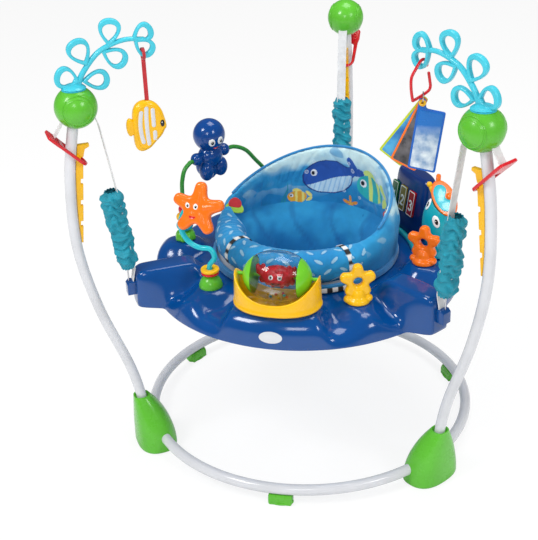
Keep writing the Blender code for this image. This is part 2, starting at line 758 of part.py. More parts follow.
def build_sleeve(side, corner):
    """Gathered cloth: a tube whose wall swells and pulls in, with slanting folds round it."""
    foot, top = SLEEVE_FOOT, SLEEVE_TOP
    axis = (along(foot, top, 1) - along(foot, top, 0)).normalized()
    side_x, side_y = Vector((axis.z, 0, -axis.x)), Vector((0, 1, 0))
    around = 10

    def ring(u, radius_at):
        centre = along(foot, top, u)
        places = []
        for i in range(around):
            a = 2 * pi * i / around
            places.append(centre + radius_at(u, a) * (side_x * cos(a) + side_y * sin(a)))
        return places

    def outside(u, a):
        swell = 0.5 - 0.5 * cos(2 * pi * SLEEVE_RUFFLES * u + 1.1 * sin(a))
        return SLEEVE_BORE + SLEEVE_WALL + SLEEVE_RUFFLE * (swell - 0.5) * min(1, 8 * u, 8 * (1 - u))

    def inside(u, a):
        return SLEEVE_BORE

    rings = [ring(i / SLEEVE_RINGS, outside) for i in range(SLEEVE_RINGS + 1)]
    rings += [ring(1.0, inside), ring(0.0, inside)]
    finish(loft(f"sleeve_{side}", rings, closed=True), f"spring_sleeve_{side}", TEAL, corner, roughness=0.8)


def nearest_arm(angle):
    """Degrees between this direction and the nearest post."""
    return min(abs((angle - post + 180) % 360 - 180) for post in POST_ANGLES.values())


def arm_share(angle, distance):
    """1 on a tray arm, 0 beside it."""
    offset = nearest_arm(angle)
    if offset > 60:
        return 0.0
    across = distance * sin(radians(offset))
    return 1 - blend(TRAY_ARM_HALF - TRAY_ARM_BLEND / 2, TRAY_ARM_HALF + TRAY_ARM_BLEND, across)


def tray_top(angle, distance):
    """Height of the tray's upper face."""
    front = (1 - sin(radians(angle))) / 2
    run = (distance - TRAY_RING_SEAT) / (TRAY_LOBE - TRAY_SKIRT_RUN - TRAY_RING_SEAT)
    base = TRAY_TOP - TRAY_FRONT_DROP * front * max(0.0, run)
    rise = blend(TRAY_ARM_START, TRAY_ARM_START + TRAY_ARM_RISE, distance)
    return base + (TRAY_ARM_TOP - base) * arm_share(angle, distance) * rise


def tray_profile(angle):
    """The closed section of the tray's wall at this angle: (distance, height) points."""
    share = arm_share(angle, TRAY_ARM_REACH)
    rim_radius = TRAY_LOBE + (TRAY_ARM_REACH - TRAY_LOBE) * share
    rim = TRAY_RIM + (TRAY_ARM_RIM - TRAY_RIM) * share
    run = TRAY_SKIRT_RUN + (TRAY_ARM_SKIRT_RUN - TRAY_SKIRT_RUN) * share
    shoulder = rim_radius - run
    top = [(TRAY_HOLE, TRAY_TOP - 0.001), (TRAY_RING_SEAT, TRAY_TOP)]
    top += [(TRAY_RING_SEAT + (shoulder - TRAY_RING_SEAT) * u,
             tray_top(angle, TRAY_RING_SEAT + (shoulder - TRAY_RING_SEAT) * u)) for u in (0.33, 0.67, 1.0)]
    drop = top[-1][1] - rim
    skirt = [(shoulder + run * 0.45, rim + drop * 0.90), (shoulder + run * 0.80, rim + drop * 0.62),
             (rim_radius, rim + drop * 0.12), (rim_radius, rim)]
    wall = TRAY_WALL
    under = [(rim_radius - wall, rim),
             (shoulder + run * 0.80 - wall, rim + drop * 0.62 - wall * 0.6),
             (shoulder + run * 0.3 - wall, rim + drop * 0.9 - wall)]
    under += [(r, z - wall) for r, z in top[2:0:-1]]
    under.append((TRAY_HOLE, TRAY_TOP - 0.001 - wall))
    return top + skirt + under


def tray_angles():
    near = (-7.8, -5.6, -3.8, 0.0, 3.8, 5.6, 7.8)
    posts = sorted(POST_ANGLES.values())
    angles = []
    for i, post in enumerate(posts):
        following = posts[(i + 1) % len(posts)] + (360 if i == len(posts) - 1 else 0)
        angles += [post + offset for offset in near]
        start, end = post + near[-1], following + near[0]
        steps = round((end - start) / 13.0)
        angles += [start + (end - start) * k / steps for k in range(1, steps)]
    return angles


def mound(name, at, top):
    """A raised round boss with a soft edge, rooted in the tray's wall."""
    def circle(radius):
        return [(at[0] + x, at[1] + y) for x, y in disc_outline(radius, MOUND_SIDES)]

    rings = seated_rings(circle(MOUND_FOOT_RADIUS), at, -TRAY_WALL / 2)
    rings.append([(x, y, tray_height(x, y) + (top - tray_height(x, y)) * 0.35)
                  for x, y in circle(MOUND_FOOT_RADIUS - 0.004)])
    rings.append([(x, y, top - 0.004) for x, y in circle(MOUND_TOP_RADIUS + 0.005)])
    rings.append([(x, y, top) for x, y in circle(MOUND_TOP_RADIUS)])
    return loft(name, rings)


def build_tray(tray_axis):
    rings = []
    for angle in tray_angles():
        rings.append([polar(angle, r, z) for r, z in tray_profile(angle)])
    tray = loft("tray", rings, closed=True)
    bosses = [(SPIRAL_AT, SPIRAL_MOUND_TOP), (ARCH_FOOT, ARCH_MOUND_TOP), (ARCH_FAR_FOOT, ARCH_MOUND_TOP)]
    bosses += [((x, y), z) for x, y, z, _ in LINK_STARS.values()]
    for i, (at, top) in enumerate(bosses):
        boolean(tray, mound(f"mound_{i}", at, top), "UNION", "MANIFOLD")
    boolean(tray, cradle_platform(), "UNION", "MANIFOLD")
    for side, angle in POST_ANGLES.items():
        lug = box(f"lug_{side}", (LUG_REACH, LUG_WIDTH, LUG_HEIGHT),
                  (TRAY_ARM_REACH - 0.003 + LUG_REACH / 2, 0, LUG_TOP - LUG_HEIGHT / 2), 0.003, 1)
        lug.rotation_euler = (0, 0, radians(angle))
        boolean(tray, baked(lug), "UNION", "MANIFOLD")
    socket = Matrix.Translation((*ARCH_FAR_FOOT, ARCH_MOUND_TOP))
    socket = cylinder("arch_socket", ARCH_WIRE + GAP, 2 * ARCH_SOCKET, socket, 12)
    boolean(tray, socket, "DIFFERENCE", "MANIFOLD")
    finish(baked(tray), "tray", TRAY_BLUE, tray_axis, roughness=0.15)


def tray_height(x, y):
    """Height of the tray's wall at a place, between the section's own points."""
    angle, distance = degrees(atan2(y, x)) % 360, hypot(x, y)
    section = tray_profile(angle)[:9]
    for (r0, z0), (r1, z1) in zip(section, section[1:]):
        if r0 <= distance <= r1 and r1 > r0:
            return z0 + (z1 - z0) * (distance - r0) / (r1 - r0)
    return section[-1][1]


def seated_rings(outline, centre, clearance, shares=(0.0, 0.4, 0.75, 1.0)):
    """A pole and rings out to the full outline, all just above the tray's wall."""
    rings = []
    for share in shares:
        places = [(centre[0] + (x - centre[0]) * share, centre[1] + (y - centre[1]) * share)
                  for x, y in (outline if share else outline[:1])]
        rings.append([(x, y, tray_height(x, y) + clearance) for x, y in places])
    return rings


def build_seat_ring(seat_axis):
    top = TRAY_TOP + SEAT_RUN + SEAT_RING_THICKNESS
    under = TRAY_TOP + SEAT_RUN
    collar = TRAY_HOLE - 0.0015
    profile = [(SEAT_RING_INNER, top), (TRAY_RING_SEAT - 0.002, top), (TRAY_RING_SEAT, top - 0.002),
               (TRAY_RING_SEAT, under), (collar, under), (collar, under - SEAT_COLLAR_DEPTH),
               (SEAT_RING_INNER, under - SEAT_COLLAR_DEPTH)]
    finish(turned("seat_ring", profile, SEAT_STEPS), "seat_ring", WHITE, seat_axis)
    return top


def seat_rim(angle):
    share = ((1 + cos(radians(angle - SEAT_BACK_ANGLE))) / 2) ** 1.75
    return SEAT_FRONT_TOP - 0.01 + (SEAT_BACK_TOP - SEAT_FRONT_TOP + 0.01) * share


def bolster_share(angle):
    away = abs((angle - SEAT_BACK_ANGLE) % 360 - 180)
    return 1 - blend(BOLSTER_SPREAD - 22, BOLSTER_SPREAD, away)


def seat_profile(angle, flange_top):
    """The cover's section, from the middle of the pouch's outside, over the rim and back inside."""
    floor = flange_top - SEAT_POUCH_DEPTH
    rest = flange_top + GAP
    neck = SEAT_RING_INNER - 0.0008
    rim = seat_rim(angle)
    share = bolster_share(angle)
    b = BOLSTER_RADIUS
    middle = SEAT_SIDE - 0.004 - b
    centre = rest + b + 0.0035

    def wall(u):
        return rest + 0.022 + (rim - rest - 0.022) * u

    tall = [(SEAT_SIDE, wall(0.0)), (SEAT_SIDE + 0.003, wall(0.45)), (SEAT_SIDE - 0.005, wall(0.85)),
            (SEAT_BACK_RIM + 0.003, rim - 0.002), (SEAT_BACK_RIM - 0.001, rim),
            (SEAT_BACK_RIM - 0.005, rim - 0.004), (SEAT_SIDE - 0.014, wall(0.80)),
            (SEAT_SIDE - 0.0055, wall(0.45)), (SEAT_SIDE - 0.0085, wall(0.03)),
            (SEAT_RING_INNER - 0.006, rest + 0.005)]
    full = [(middle + b * cos(radians(a)), centre + b * sin(radians(a)))
            for a in (-32, 0, 38, 68, 92, 125, 160, 190, 222, 250)]
    sides = [(t[0] + (f[0] - t[0]) * share, t[1] + (f[1] - t[1]) * share) for t, f in zip(tall, full)]
    pouch = [(0.050, floor + 0.002), (0.100, floor + 0.014), (0.134, floor + 0.050),
             (0.149, floor + 0.105), (0.156, floor + 0.148)]
    outside = [*pouch, (neck, rest - 0.006), (neck, rest), (TRAY_RING_SEAT - 0.004, rest)]
    inside = [(0.050, floor + 0.002 + SEAT_WALL), (0.098, floor + 0.014 + SEAT_WALL)]
    inside += [(r - SEAT_WALL, z + 0.003) for r, z in pouch[2:]]
    return outside + sides + inside[::-1], floor


def build_seat(seat_axis, flange_top):
    angles = [360 / SEAT_STEPS * i for i in range(SEAT_STEPS)]
    sections = [seat_profile(a, flange_top)[0] for a in angles]
    floor = seat_profile(0.0, flange_top)[1]
    rings = [[(0, 0, floor)]]
    for k in range(len(sections[0])):
        rings.append([polar(a, *section[k]) for a, section in zip(angles, sections)])
    rings.append([(0, 0, floor + SEAT_WALL)])
    cover = loft("cover", rings)
    for sign in (-1, 1):
        angle = SEAT_BACK_ANGLE + 180 + sign * LEG_HOLE_SPREAD
        slope = Matrix.Rotation(radians(angle), 4, "Z") @ Matrix.Rotation(radians(118), 4, "Y")
        place = Matrix.Translation(polar(angle, *LEG_HOLE_CENTRE)) @ slope
        boolean(cover, cylinder("leg_hole", LEG_HOLE_RADIUS, 0.09, place, 16))
    finish(baked(cover), "seat_cover", SEAT_BLUE, seat_axis, roughness=0.85)


def build_globe(tray_axis):
    axis = empty("globe_axis", tray_axis, GLOBE_AT, (0, pi / 2, 0))
    steps = 5

    def ellipse(h, shrink=0.0):
        return (GLOBE_RADIUS - shrink) * sqrt(max(0.0, 1 - (h / GLOBE_HALF) ** 2))

    levels = [GLOBE_SHELL_HALF * (1 - 2 * i / steps) for i in range(steps + 1)]
    outer = [(ellipse(h), h) for h in levels]
    inner = [(ellipse(h, GLOBE_SHELL_WALL), h) for h in levels[::-1]]
    finish(turned("shell", outer + inner, 18), "globe_shell", (0.75, 0.78, 0.82), axis, roughness=0.05,
           alpha=0.25)
    inset = GLOBE_SHELL_HALF + GAP
    dome = [inset + (GLOBE_HALF - inset) * sin(radians(a)) for a in (70, 45, 20, 0)]
    cap = [(GLOBE_AXLE, GLOBE_AXLE_HALF)] + [(max(GLOBE_AXLE, ellipse(h)), h) for h in dome[1:]]
    cap.insert(1, (GLOBE_AXLE, dome[0]))
    cap.append((GLOBE_AXLE, inset))
    half = [(0.0, GLOBE_AXLE_HALF), *cap]
    profile = half + [(r, -h) for r, h in half[::-1]]
    finish(turned("caps", profile, 16), "globe_caps_axle", GREEN, axis)
    build_crab(empty("crab_frame", tray_axis, GLOBE_AT))


def build_crab(place):
    """The crab turns with the globe and is threaded on its axle."""
    crab = ball("crab", (CRAB_RADIUS, CRAB_RADIUS * 0.8, CRAB_RADIUS * 0.68), segments=10, rings=7)
    for sign in (-1, 1):
        claw = ball(f"claw_{sign}", (0.010, 0.008, 0.012), (sign * 0.030, -0.006, 0.013), 6, 4)
        boolean(crab, claw, "UNION")
        for k in range(2):
            at = (sign * (0.009 + 0.012 * k), 0.0, -0.018 + 0.005 * k)
            boolean(crab, ball(f"leg_{sign}_{k}", (0.006, 0.006, 0.010), at, 6, 4), "UNION")
    along_x = Matrix.Rotation(pi / 2, 4, "Y")
    boolean(crab, cylinder("crab_bore", GLOBE_AXLE + GAP, 0.12, along_x, 10))
    finish(baked(crab), "globe_crab", RED, place)


def cradle_outline(shrink):
    """Plan outline under the globe: deep towards the front, shallow towards the seat."""
    x0, y0, _ = GLOBE_AT
    around = 22
    places = []
    for i in range(around):
        a = 2 * pi * i / around
        c, s = cos(a), sin(a)
        depth = (CRADLE_BACK_DEPTH if s > 0 else CRADLE_FRONT_DEPTH) - shrink
        places.append((x0 + (CRADLE_HALF_LENGTH - shrink) * abs(c) ** 0.9 * (1 if c > 0 else -1),
                       y0 + depth * abs(s) ** 0.9 * (1 if s > 0 else -1)))
    return places


def cradle_platform():
    """The tray's own raised pad under the cradle."""
    shares = (0.0, 0.3, 0.5, 0.7, 0.85, 1.0)
    rings = seated_rings(cradle_outline(-0.0055), GLOBE_AT[:2], -0.6 * TRAY_WALL, shares)
    rings.append([(x, y, PLATFORM_TOP - 0.005) for x, y in cradle_outline(-0.004)])
    rings.append([(x, y, PLATFORM_TOP) for x, y in cradle_outline(-0.001)])
    return loft("platform", rings)


def build_cradle(tray_axis):
    x0, y0, _ = GLOBE_AT
    low = PLATFORM_TOP + GAP

    def rim(x, y):
        share = min(1.0, abs(x - x0) / (CRADLE_HALF_LENGTH - 0.004))
        middle = CRADLE_BACK_RISE if y > y0 else CRADLE_FRONT_RISE
        return low + middle + (CRADLE_TIP_RISE - middle) * share ** 2.6

    rings = [[(x0, y0, low)]]
    rings.append([(x, y, low) for x, y in cradle_outline(0.003)])
    rings.append([(x, y, low + 0.007) for x, y in cradle_outline(0.0)])
    rings.append([(x, y, rim(x, y)) for x, y in cradle_outline(0.004)])
    rings.append([(x, y, rim(x, y)) for x, y in cradle_outline(0.004 + CRADLE_WALL)])
    rings.append([(x, y, low + CRADLE_FLOOR + 0.006) for x, y in cradle_outline(0.018)])
    rings.append([(x0, y0, low + CRADLE_FLOOR)])
    cradle = loft("cradle", rings)
    bore = Matrix.Translation(Vector(GLOBE_AT)) @ Matrix.Rotation(pi / 2, 4, "Y")
    boolean(cradle, cylinder("cradle_bore", GLOBE_AXLE + GAP, 2 * GLOBE_AXLE_HALF + 0.002, bore, 12))
    finish(baked(cradle), "globe_cradle", YELLOW, tray_axis)


def star_outline(reach, waist, spread=0.16):
    """Five blunt points: each tip and each inner corner is a pair of points."""
    outline = []
    for i in range(10):
        a = pi / 2 + pi * i / 5
        if i % 2:
            outline.append((waist * cos(a), waist * sin(a)))
            continue
        outline += [(reach * k * cos(a + side * spread), reach * k * sin(a + side * spread))
                    for side, k in ((-1, 0.97), (0, 1.04), (1, 0.97))]
    return outline


def disc_outline(radius, count=12, centre=(0, 0)):
    return [(centre[0] + radius * cos(2 * pi * i / count), centre[1] + radius * sin(2 * pi * i / count))
            for i in range(count)]


def build_spiral(tray_axis):
    top = SPIRAL_DOME_HEIGHT
    base = empty("spiral_frame", tray_axis, (*SPIRAL_AT, SPIRAL_MOUND_TOP + GAP))
    bore, depth = SPIRAL_WIRE + GAP, 0.012
    dome = [(SPIRAL_DOME_RADIUS * cos(radians(a)), top * sin(radians(a))) for a in (62, 45, 30, 15, 0)]
    profile = [(0, top - depth), (bore, top - depth), (bore, top), (0.0105, top), *dome[:-1],
               (SPIRAL_DOME_RADIUS, 0.004), (SPIRAL_DOME_RADIUS - 0.002, 0), (0, 0)]
    finish(turned("dome", profile, 14), "spiral_base", GREEN, base)
    star_normal = Vector((0, -cos(radians(STAR_TILT)), sin(radians(STAR_TILT))))
    star_at = Vector(SPIRAL_STAR)
    back = star_at - star_normal * STAR_THICKNESS / 2
    hole = 0.006
    stub = [Vector((0, 0, -depth + GAP))]
    route = [Vector(p) for p in SPIRAL_LINE]
    tail = [back - star_normal * 0.010, back - star_normal * 0.002, back + star_normal * (hole - GAP)]
    line = stub + smooth_line(route + tail[:2], 19) + tail[2:]
    wire = empty("spiral_top", base, (0, 0, top))
    finish(tube("spiral_wire", line, SPIRAL_WIRE, 8), "spiral_wire", CYAN, wire, roughness=0.25)
    ring_z = top + GAP
    r, h = RINGS_RADIUS, RINGS_HEIGHT
    ring = [(SPIRAL_WIRE + 0.002, h), (r - 0.001, h), (r, h * 0.85), (r - 0.002, h * 0.45),
            (r - 0.001, h * 0.3), (r - 0.003, 0), (SPIRAL_WIRE + 0.002, 0)]
    finish(turned("rings", ring, 16), "stacking_ring", YELLOW, base, (0, 0, ring_z))
    turn = Euler((pi / 2 - radians(STAR_TILT), 0, 0)).to_matrix()
    turn = (turn @ Matrix.Rotation(radians(STAR_TURN), 3, "Z")).to_euler()
    star = baked(plate("star", [star_outline(STAR_REACH, STAR_WAIST)], STAR_THICKNESS, 0.004))
    star_back = Matrix.Translation((0, 0, -STAR_THICKNESS / 2))
    boolean(star, cylinder("star_socket", SPIRAL_WIRE + GAP, hole * 2, star_back, 12))
    finish(baked(star), "star_spinner", ORANGE, wire, tuple(star_at), turn)


def build_link_star(name, colour, tray_axis):
    x, y, z, turn = LINK_STARS[name]
    up = LINK_STAR_RISE
    star = plate(name, [star_outline(LINK_STAR_REACH, LINK_STAR_WAIST), disc_outline(LINK_STAR_HOLE, 10)],
                 LINK_STAR_THICKNESS, 0.003)
    star.rotation_euler = (pi / 2, 0, 0)
    star.location = (0, 0, up)
    star = baked(star)
    r = LINK_STAR_STEM
    neck = turned(name + "_neck", [(0, 0.030), (r * 0.72, 0.028), (r * 0.80, 0.019), (r + 0.004, 0.009),
                                   (r + 0.004, 0.001), (r + 0.003, 0), (0, 0)], 10)
    boolean(star, baked(neck), "UNION")
    for side in (-1, 1):
        toe = ball(f"{name}_toe_{side}", (0.009, 0.010, 0.008), (side * 0.021, 0, 0.0083), 6, 4)
        boolean(star, toe, "UNION")
    finish(baked(star), name, colour, tray_axis, (x, y, z + GAP), (0, 0, radians(turn)))


def arch_point(s, z, side=0.0):
    """A place in the arch's own upright plane: s runs from one foot to the other."""
    a, b = Vector((*ARCH_FOOT, 0)), Vector((*ARCH_FAR_FOOT, 0))
    d = (b - a).normalized()
    return a + d * s + Vector((-d.y, d.x, 0)) * side + Vector((0, 0, z))


def arch_line():
    a, b = Vector(ARCH_FOOT), Vector(ARCH_FAR_FOOT)
    span = (b - a).length
    base_top = ARCH_MOUND_TOP + GAP + ARCH_BASE_HEIGHT
    top = ARCH_TOP
    flat_from, flat_to = ARCH_SHOULDER, ARCH_SHOULDER + ARCH_LEAN
    rise = [(0.0, base_top - 0.012 + GAP), (0.0, base_top + 0.02), (0.0, base_top + 0.055),
            (0.002, top - 0.036), (0.010, top - 0.014), (0.024, top - 0.003), (flat_from, top)]
    fall = [(flat_to, top), (flat_to + 0.03, top - 0.004), (flat_to + 0.062, top - 0.022),
            (flat_to + 0.090, top - 0.053), (span - 0.050, top - 0.090), (span - 0.024, top - 0.128),
            (span - 0.003, ARCH_MOUND_TOP + 0.024), (span, ARCH_MOUND_TOP + 0.007)]
    first = smooth_line([(s, z, 0) for s, z in rise], 9)
    last = smooth_line([(s, z, 0) for s, z in fall], 11)
    end = arch_point(span, ARCH_MOUND_TOP - ARCH_SOCKET + GAP)
    return [arch_point(p.x, p.y) for p in first + last] + [end]


def build_arch(tray_axis):
    line = arch_line()
    finish(tube("arch_wire", line, ARCH_WIRE, 8), "arch_wire", GREEN, tray_axis, roughness=0.25)
    r, h = ARCH_BASE_RADIUS, ARCH_BASE_HEIGHT
    bore = ARCH_WIRE + GAP
    profile = [(0, h - 0.012), (bore, h - 0.012), (bore, h), (r - 0.004, h), (r - 0.002, h - 0.010),
               (r - 0.004, h - 0.014), (r, h - 0.021), (r, h - 0.030), (r - 0.004, h - 0.036), (r, h - 0.042),
               (r + 0.004, 0.003), (r + 0.002, 0), (0, 0)]
    base = empty("arch_base_frame", tray_axis, (*ARCH_FOOT, ARCH_MOUND_TOP + GAP))
    finish(turned("arch_base", profile, 12), "arch_base", GREEN, base)
    b = BEAD_RADIUS
    bead_bore = ARCH_WIRE + 2 * GAP
    bead = [(bead_bore, 2 * b - 0.002)]
    bead += [(b * cos(radians(a)), b + b * sin(radians(a))) for a in (55, 30, 0, -30, -55)]
    bead.append((bead_bore, 0.002))
    finish(turned("bead", bead, 12), "arch_bead", RED, base, (0, 0, h + GAP - 0.001))


def build_octopus(tray_axis):
    centre = arch_point(OCTOPUS_ALONG, ARCH_TOP)
    d = (arch_point(1, 0) - arch_point(0, 0)).normalized()
    place = empty("octopus_axis", tray_axis, tuple(centre), (0, 0, atan2(d.y, d.x)))
    head = OCTOPUS_HEAD
    body = ball("octopus", (head, head * 0.95, head), (0, 0, OCTOPUS_HEAD_RISE), 12, 9)
    pieces = [((0.031, 0.025, 0.026), (0, 0, -0.002))]
    pieces += [((0.0130, 0.012, 0.013), (sign * 0.041, 0, 0.001)) for sign in (-1, 1)]
    pieces += [((0.018, 0.011, 0.011), (sign * 0.030, 0, 0.002)) for sign in (-1, 1)]
    legs = ((-0.024, -0.008, -0.024), (0.001, -0.014, -0.038), (0.025, -0.008, -0.024),
            (-0.012, 0.012, -0.024), (0.014, 0.012, -0.024))
    pieces += [((0.0150, 0.0135, 0.0235), at) for at in legs]
    for k, (radii, at) in enumerate(pieces):
        boolean(body, ball(f"octopus_part_{k}", radii, at, 6, 4), "UNION")
    bore = Matrix.Rotation(pi / 2, 4, "Y")
    boolean(body, cylinder("octopus_bore", ARCH_WIRE + 4 * GAP, 0.14, bore, 12))
    finish(baked(body), "octopus", OCTOPUS_BLUE, place, roughness=0.2)


def console_point(x, t):
    """Tray coordinates of a place in the console's own frame."""
    p = Matrix.Rotation(radians(CONSOLE_ANGLE), 3, "Z") @ Vector((x, t, 0))
    return p.x, p.y


def console_outline(inner, outer, half):
    """Plan outline in the console's frame: a straight inner face, an outer side round the ring's axis."""
    around = 24
    places = []
    for i in range(around):
        a = 2 * pi * i / around
        t = half * abs(sin(a)) ** 0.55 * (1 if sin(a) > 0 else -1)
        far = sqrt(outer ** 2 - t ** 2)
        share = 0.5 + 0.5 * abs(cos(a)) ** 0.55 * (1 if cos(a) > 0 else -1)
        places.append((inner + (far - inner) * share, t))
    return places


def build_console(tray_axis):
    frame = empty("console_frame", tray_axis, (0, 0, 0), (0, 0, radians(CONSOLE_ANGLE)))
    turn = Matrix.Rotation(-radians(CONSOLE_ANGLE), 4, "Z")
    low_in, low_out = CONSOLE_FOOT
    top_in, top_out = CONSOLE_TOP
    foot = console_outline(low_in, low_out, CONSOLE_HALF)
    middle = ((low_in + low_out) / 2, 0)
    plan = [console_point(x, t) for x, t in foot]
    rings = [[turn @ Vector(p) for p in ring]
             for ring in seated_rings(plan, console_point(*middle), 4 * GAP)]
    base = TRAY_TOP
    for u, ease in ((0.25, 0.0), (0.90, 0.0), (1.0, 0.006)):
        z = base + (CONSOLE_RISE - base) * u
        inner = low_in + (top_in - low_in) * u + ease
        outer = low_out + (top_out - low_out) * u - ease
        rings.append([(x, t, z) for x, t in console_outline(inner, outer, CONSOLE_HALF - 0.004 * u - ease)])
    body = loft("console", rings)
    lean = atan2(top_in - low_in, CONSOLE_RISE - base)
    face_z = base + CONSOLE_FACE_RISE
    face_x = low_in + (top_in - low_in) * CONSOLE_FACE_RISE / (CONSOLE_RISE - base)
    keys = []
    for k in range(3):
        t = CONSOLE_KEY_OFFSET + (k - 1) * KEY_PITCH
        keys.append((t, f"key_{3 - k}"))
        depth = KEY_DEPTH + KEY_TRAVEL - KEY_PROUD + GAP
        pocket = box("pocket", (2 * depth, KEY_WIDTH + 3 * GAP, KEY_HEIGHT + 3 * GAP), (face_x, t, face_z))
        pocket = leaned(pocket, (face_x, t, face_z), lean)
        boolean(body, pocket)
    finish(baked(body), "console_body", OCTOPUS_BLUE, frame)
    colours = {"key_1": (0.02, 0.17, 0.06), "key_2": (0.24, 0.19, 0.02), "key_3": (0.42, 0.01, 0.02)}
    for t, name in keys:
        key = box(name, (KEY_DEPTH, KEY_WIDTH, KEY_HEIGHT), (KEY_DEPTH / 2 - KEY_PROUD, 0, 0), 0.0015, 1)
        finish(key, name, colours[name], frame, (face_x, t, face_z), (0, lean, 0))
    build_turtle(tray_axis)


def leaned(obj, centre, lean):
    """Turns a piece about its own centre in the console's frame."""
    c = Vector(centre)
    obj.data.transform(Matrix.Translation(c) @ Matrix.Rotation(lean, 4, "Y") @ Matrix.Translation(-c))
    return obj


def build_turtle(tray_axis):
    """A head with a framed window on its brow; the window lifts on a hinge."""
    a, b, c = TURTLE_RADII
    frame = empty("turtle_frame", tray_axis, TURTLE_AT, (0, 0, radians(CONSOLE_ANGLE)))
    turtle = ball("turtle", (a, b, c), segments=14, rings=10)
    turn = Matrix.Rotation(radians(CONSOLE_ANGLE), 4, "Z")
    here = turn.inverted() @ Matrix.Translation(-Vector(TURTLE_AT))
    foot = []
    for i in range(14):
        angle = 2 * pi * i / 14
        offset = turn @ Vector((a * TURTLE_NECK * cos(angle), b * TURTLE_NECK * sin(angle), 0))
        foot.append((TURTLE_AT[0] + offset.x, TURTLE_AT[1] + offset.y))
    rings = [[here @ Vector(p) for p in ring]
             for ring in seated_rings(foot, TURTLE_AT[:2], 4 * GAP, (0.0, 0.35, 0.6, 0.8, 1.0))]
    rings.append([here @ Vector((x, y, TURTLE_AT[2] - c * 0.35)) for x, y in foot])
    boolean(turtle, loft("turtle_foot", rings), "UNION")
    under = Vector((0, 0, tray_height(*TURTLE_AT[:2]) - TURTLE_AT[2]))
    boolean(turtle, box("turtle_floor", (0.2, 0.2, 0.06), tuple(under - Vector((0, 0, 0.03 + 0.008)))))
    along_brow, brow_normal = Vector(BROW_ALONG).normalized(), Vector(BROW_NORMAL).normalized()
    across = along_brow.cross(brow_normal).normalized()
    basis = Matrix((across, along_brow, brow_normal)).transposed()
    flap_here = turn.to_3x3().inverted() @ (Vector(FLAP_AT) - Vector(TURTLE_AT))
    cut_depth = 0.09
    cut = plate("brow_cut", [oval(FLAP_RADII[0] + 2 * GAP, FLAP_RADII[1] + 2 * GAP)], cut_depth)
    cut.matrix_world = Matrix.Translation(
        flap_here + brow_normal * (cut_depth / 2 - FLAP_THICKNESS / 2 - GAP)) @ basis.to_4x4()
    boolean(turtle, baked(cut))
    finish(baked(turtle), "console_turtle", TEAL, frame)
    hinge = empty("porthole_axis", frame, tuple(flap_here - across * FLAP_RADII[0]), basis.to_euler())
    flap = plate("porthole", [oval(*FLAP_RADII)], FLAP_THICKNESS, 0.002)
    finish(flap, "porthole", ORANGE, hinge, (FLAP_RADII[0], 0, 0))


def oval(half_x, half_y, count=20):
    return [(half_x * cos(2 * pi * i / count), half_y * sin(2 * pi * i / count)) for i in range(count)]


def teardrop(root, tip, half_width, count):
    """A leaf outline: pointed at its root, round at its tip."""
    root, tip = Vector(root), Vector(tip)
    axis = tip - root
    side = Vector((-axis.y, axis.x)).normalized()
    fullness = half_width / 0.77
    outline = []
    for i in range(count):
        a = 2 * pi * (i + 0.5) / count
        outline.append(root + axis * (1 - cos(a)) / 2 + side * fullness * sin(a) * sin(a / 2))
    return outline


def build_leaf_bar(side, corner):
    over_heads = (0, 0, HEAD_HEIGHT)
    stem = plate(f"stem_{side}", [ribbon(smooth_line(LEAF_STEM_LINE, 9), 2 * LEAF_STEM)],
                 LEAF_THICKNESS + 0.001)
    stem.rotation_euler = RADIAL_PLANE
    stem.location = over_heads
    bar = baked(stem)
    for k, (root, tip, half) in enumerate(LEAVES):
        root, tip = Vector(root), Vector(tip)
        axis = (tip - root).normalized()
        hole = teardrop(root + axis * LEAF_ROOT, tip - axis * LEAF_END, half - LEAF_BAND, 7)
        thickness = LEAF_THICKNESS - 0.0004 * (k % 3)
        leaf = plate(f"leaf_{side}_{k}", [teardrop(root, tip, half, 10), hole], thickness)
        leaf.rotation_euler = RADIAL_PLANE
        leaf.location = over_heads
        boolean(bar, baked(leaf), "UNION")
    top = HEAD_CENTRE[1] + HEAD_RADIUS
    saddle = Matrix.Translation((HEAD_CENTRE[0], 0, top - SADDLE_HEIGHT / 2 + 0.004))
    boolean(bar, cylinder(f"saddle_{side}", SADDLE_RADIUS, SADDLE_HEIGHT, saddle, 16), "UNION")
    head_at = (HEAD_CENTRE[0], 0, HEAD_CENTRE[1])
    boolean(bar, ball(f"head_room_{side}", (HEAD_RADIUS + 2 * GAP,) * 3, head_at, 18, 10))
    finish(baked(bar), f"leaf_bar_{side}", CYAN, corner)


def build_fish(corner):
    hinge = empty("fish_axis", corner, FISH_HANG)
    outer = disc_outline(FISH_LOOP + 0.0013, 12)
    strap = plate("fish_strap", [outer, disc_outline(FISH_LOOP, 12)], FISH_STRAP_WIDTH)
    strap.rotation_euler = (pi / 2, 0, pi / 2)
    strap = baked(strap)
    drop = FISH_STRAP_DROP
    tail = box("strap_tail", (FISH_STRAP_WIDTH - 0.0004, 0.0022, drop - FISH_LOOP),
               (0, 0, -(drop + FISH_LOOP) / 2))
    boolean(strap, tail, "UNION")
    middle = (0, 0, -drop - FISH_HALF_HEIGHT + 0.006)
    outline = [(x * FISH_HALF_WIDTH, z * FISH_HALF_HEIGHT) for x, z in FISH_OUTLINE]
    body = plate("fish_body", [outline], FISH_THICKNESS, 0.005)
    tail_fin = plate("fish_tail", [FISH_TAIL_OUTLINE], FISH_THICKNESS * 0.5, 0.002)
    for piece in (body, tail_fin):
        piece.rotation_euler = RADIAL_PLANE
        piece.location = middle
        boolean(strap, baked(piece), "UNION")
    finish(baked(strap), "hanging_fish", YELLOW, hinge)


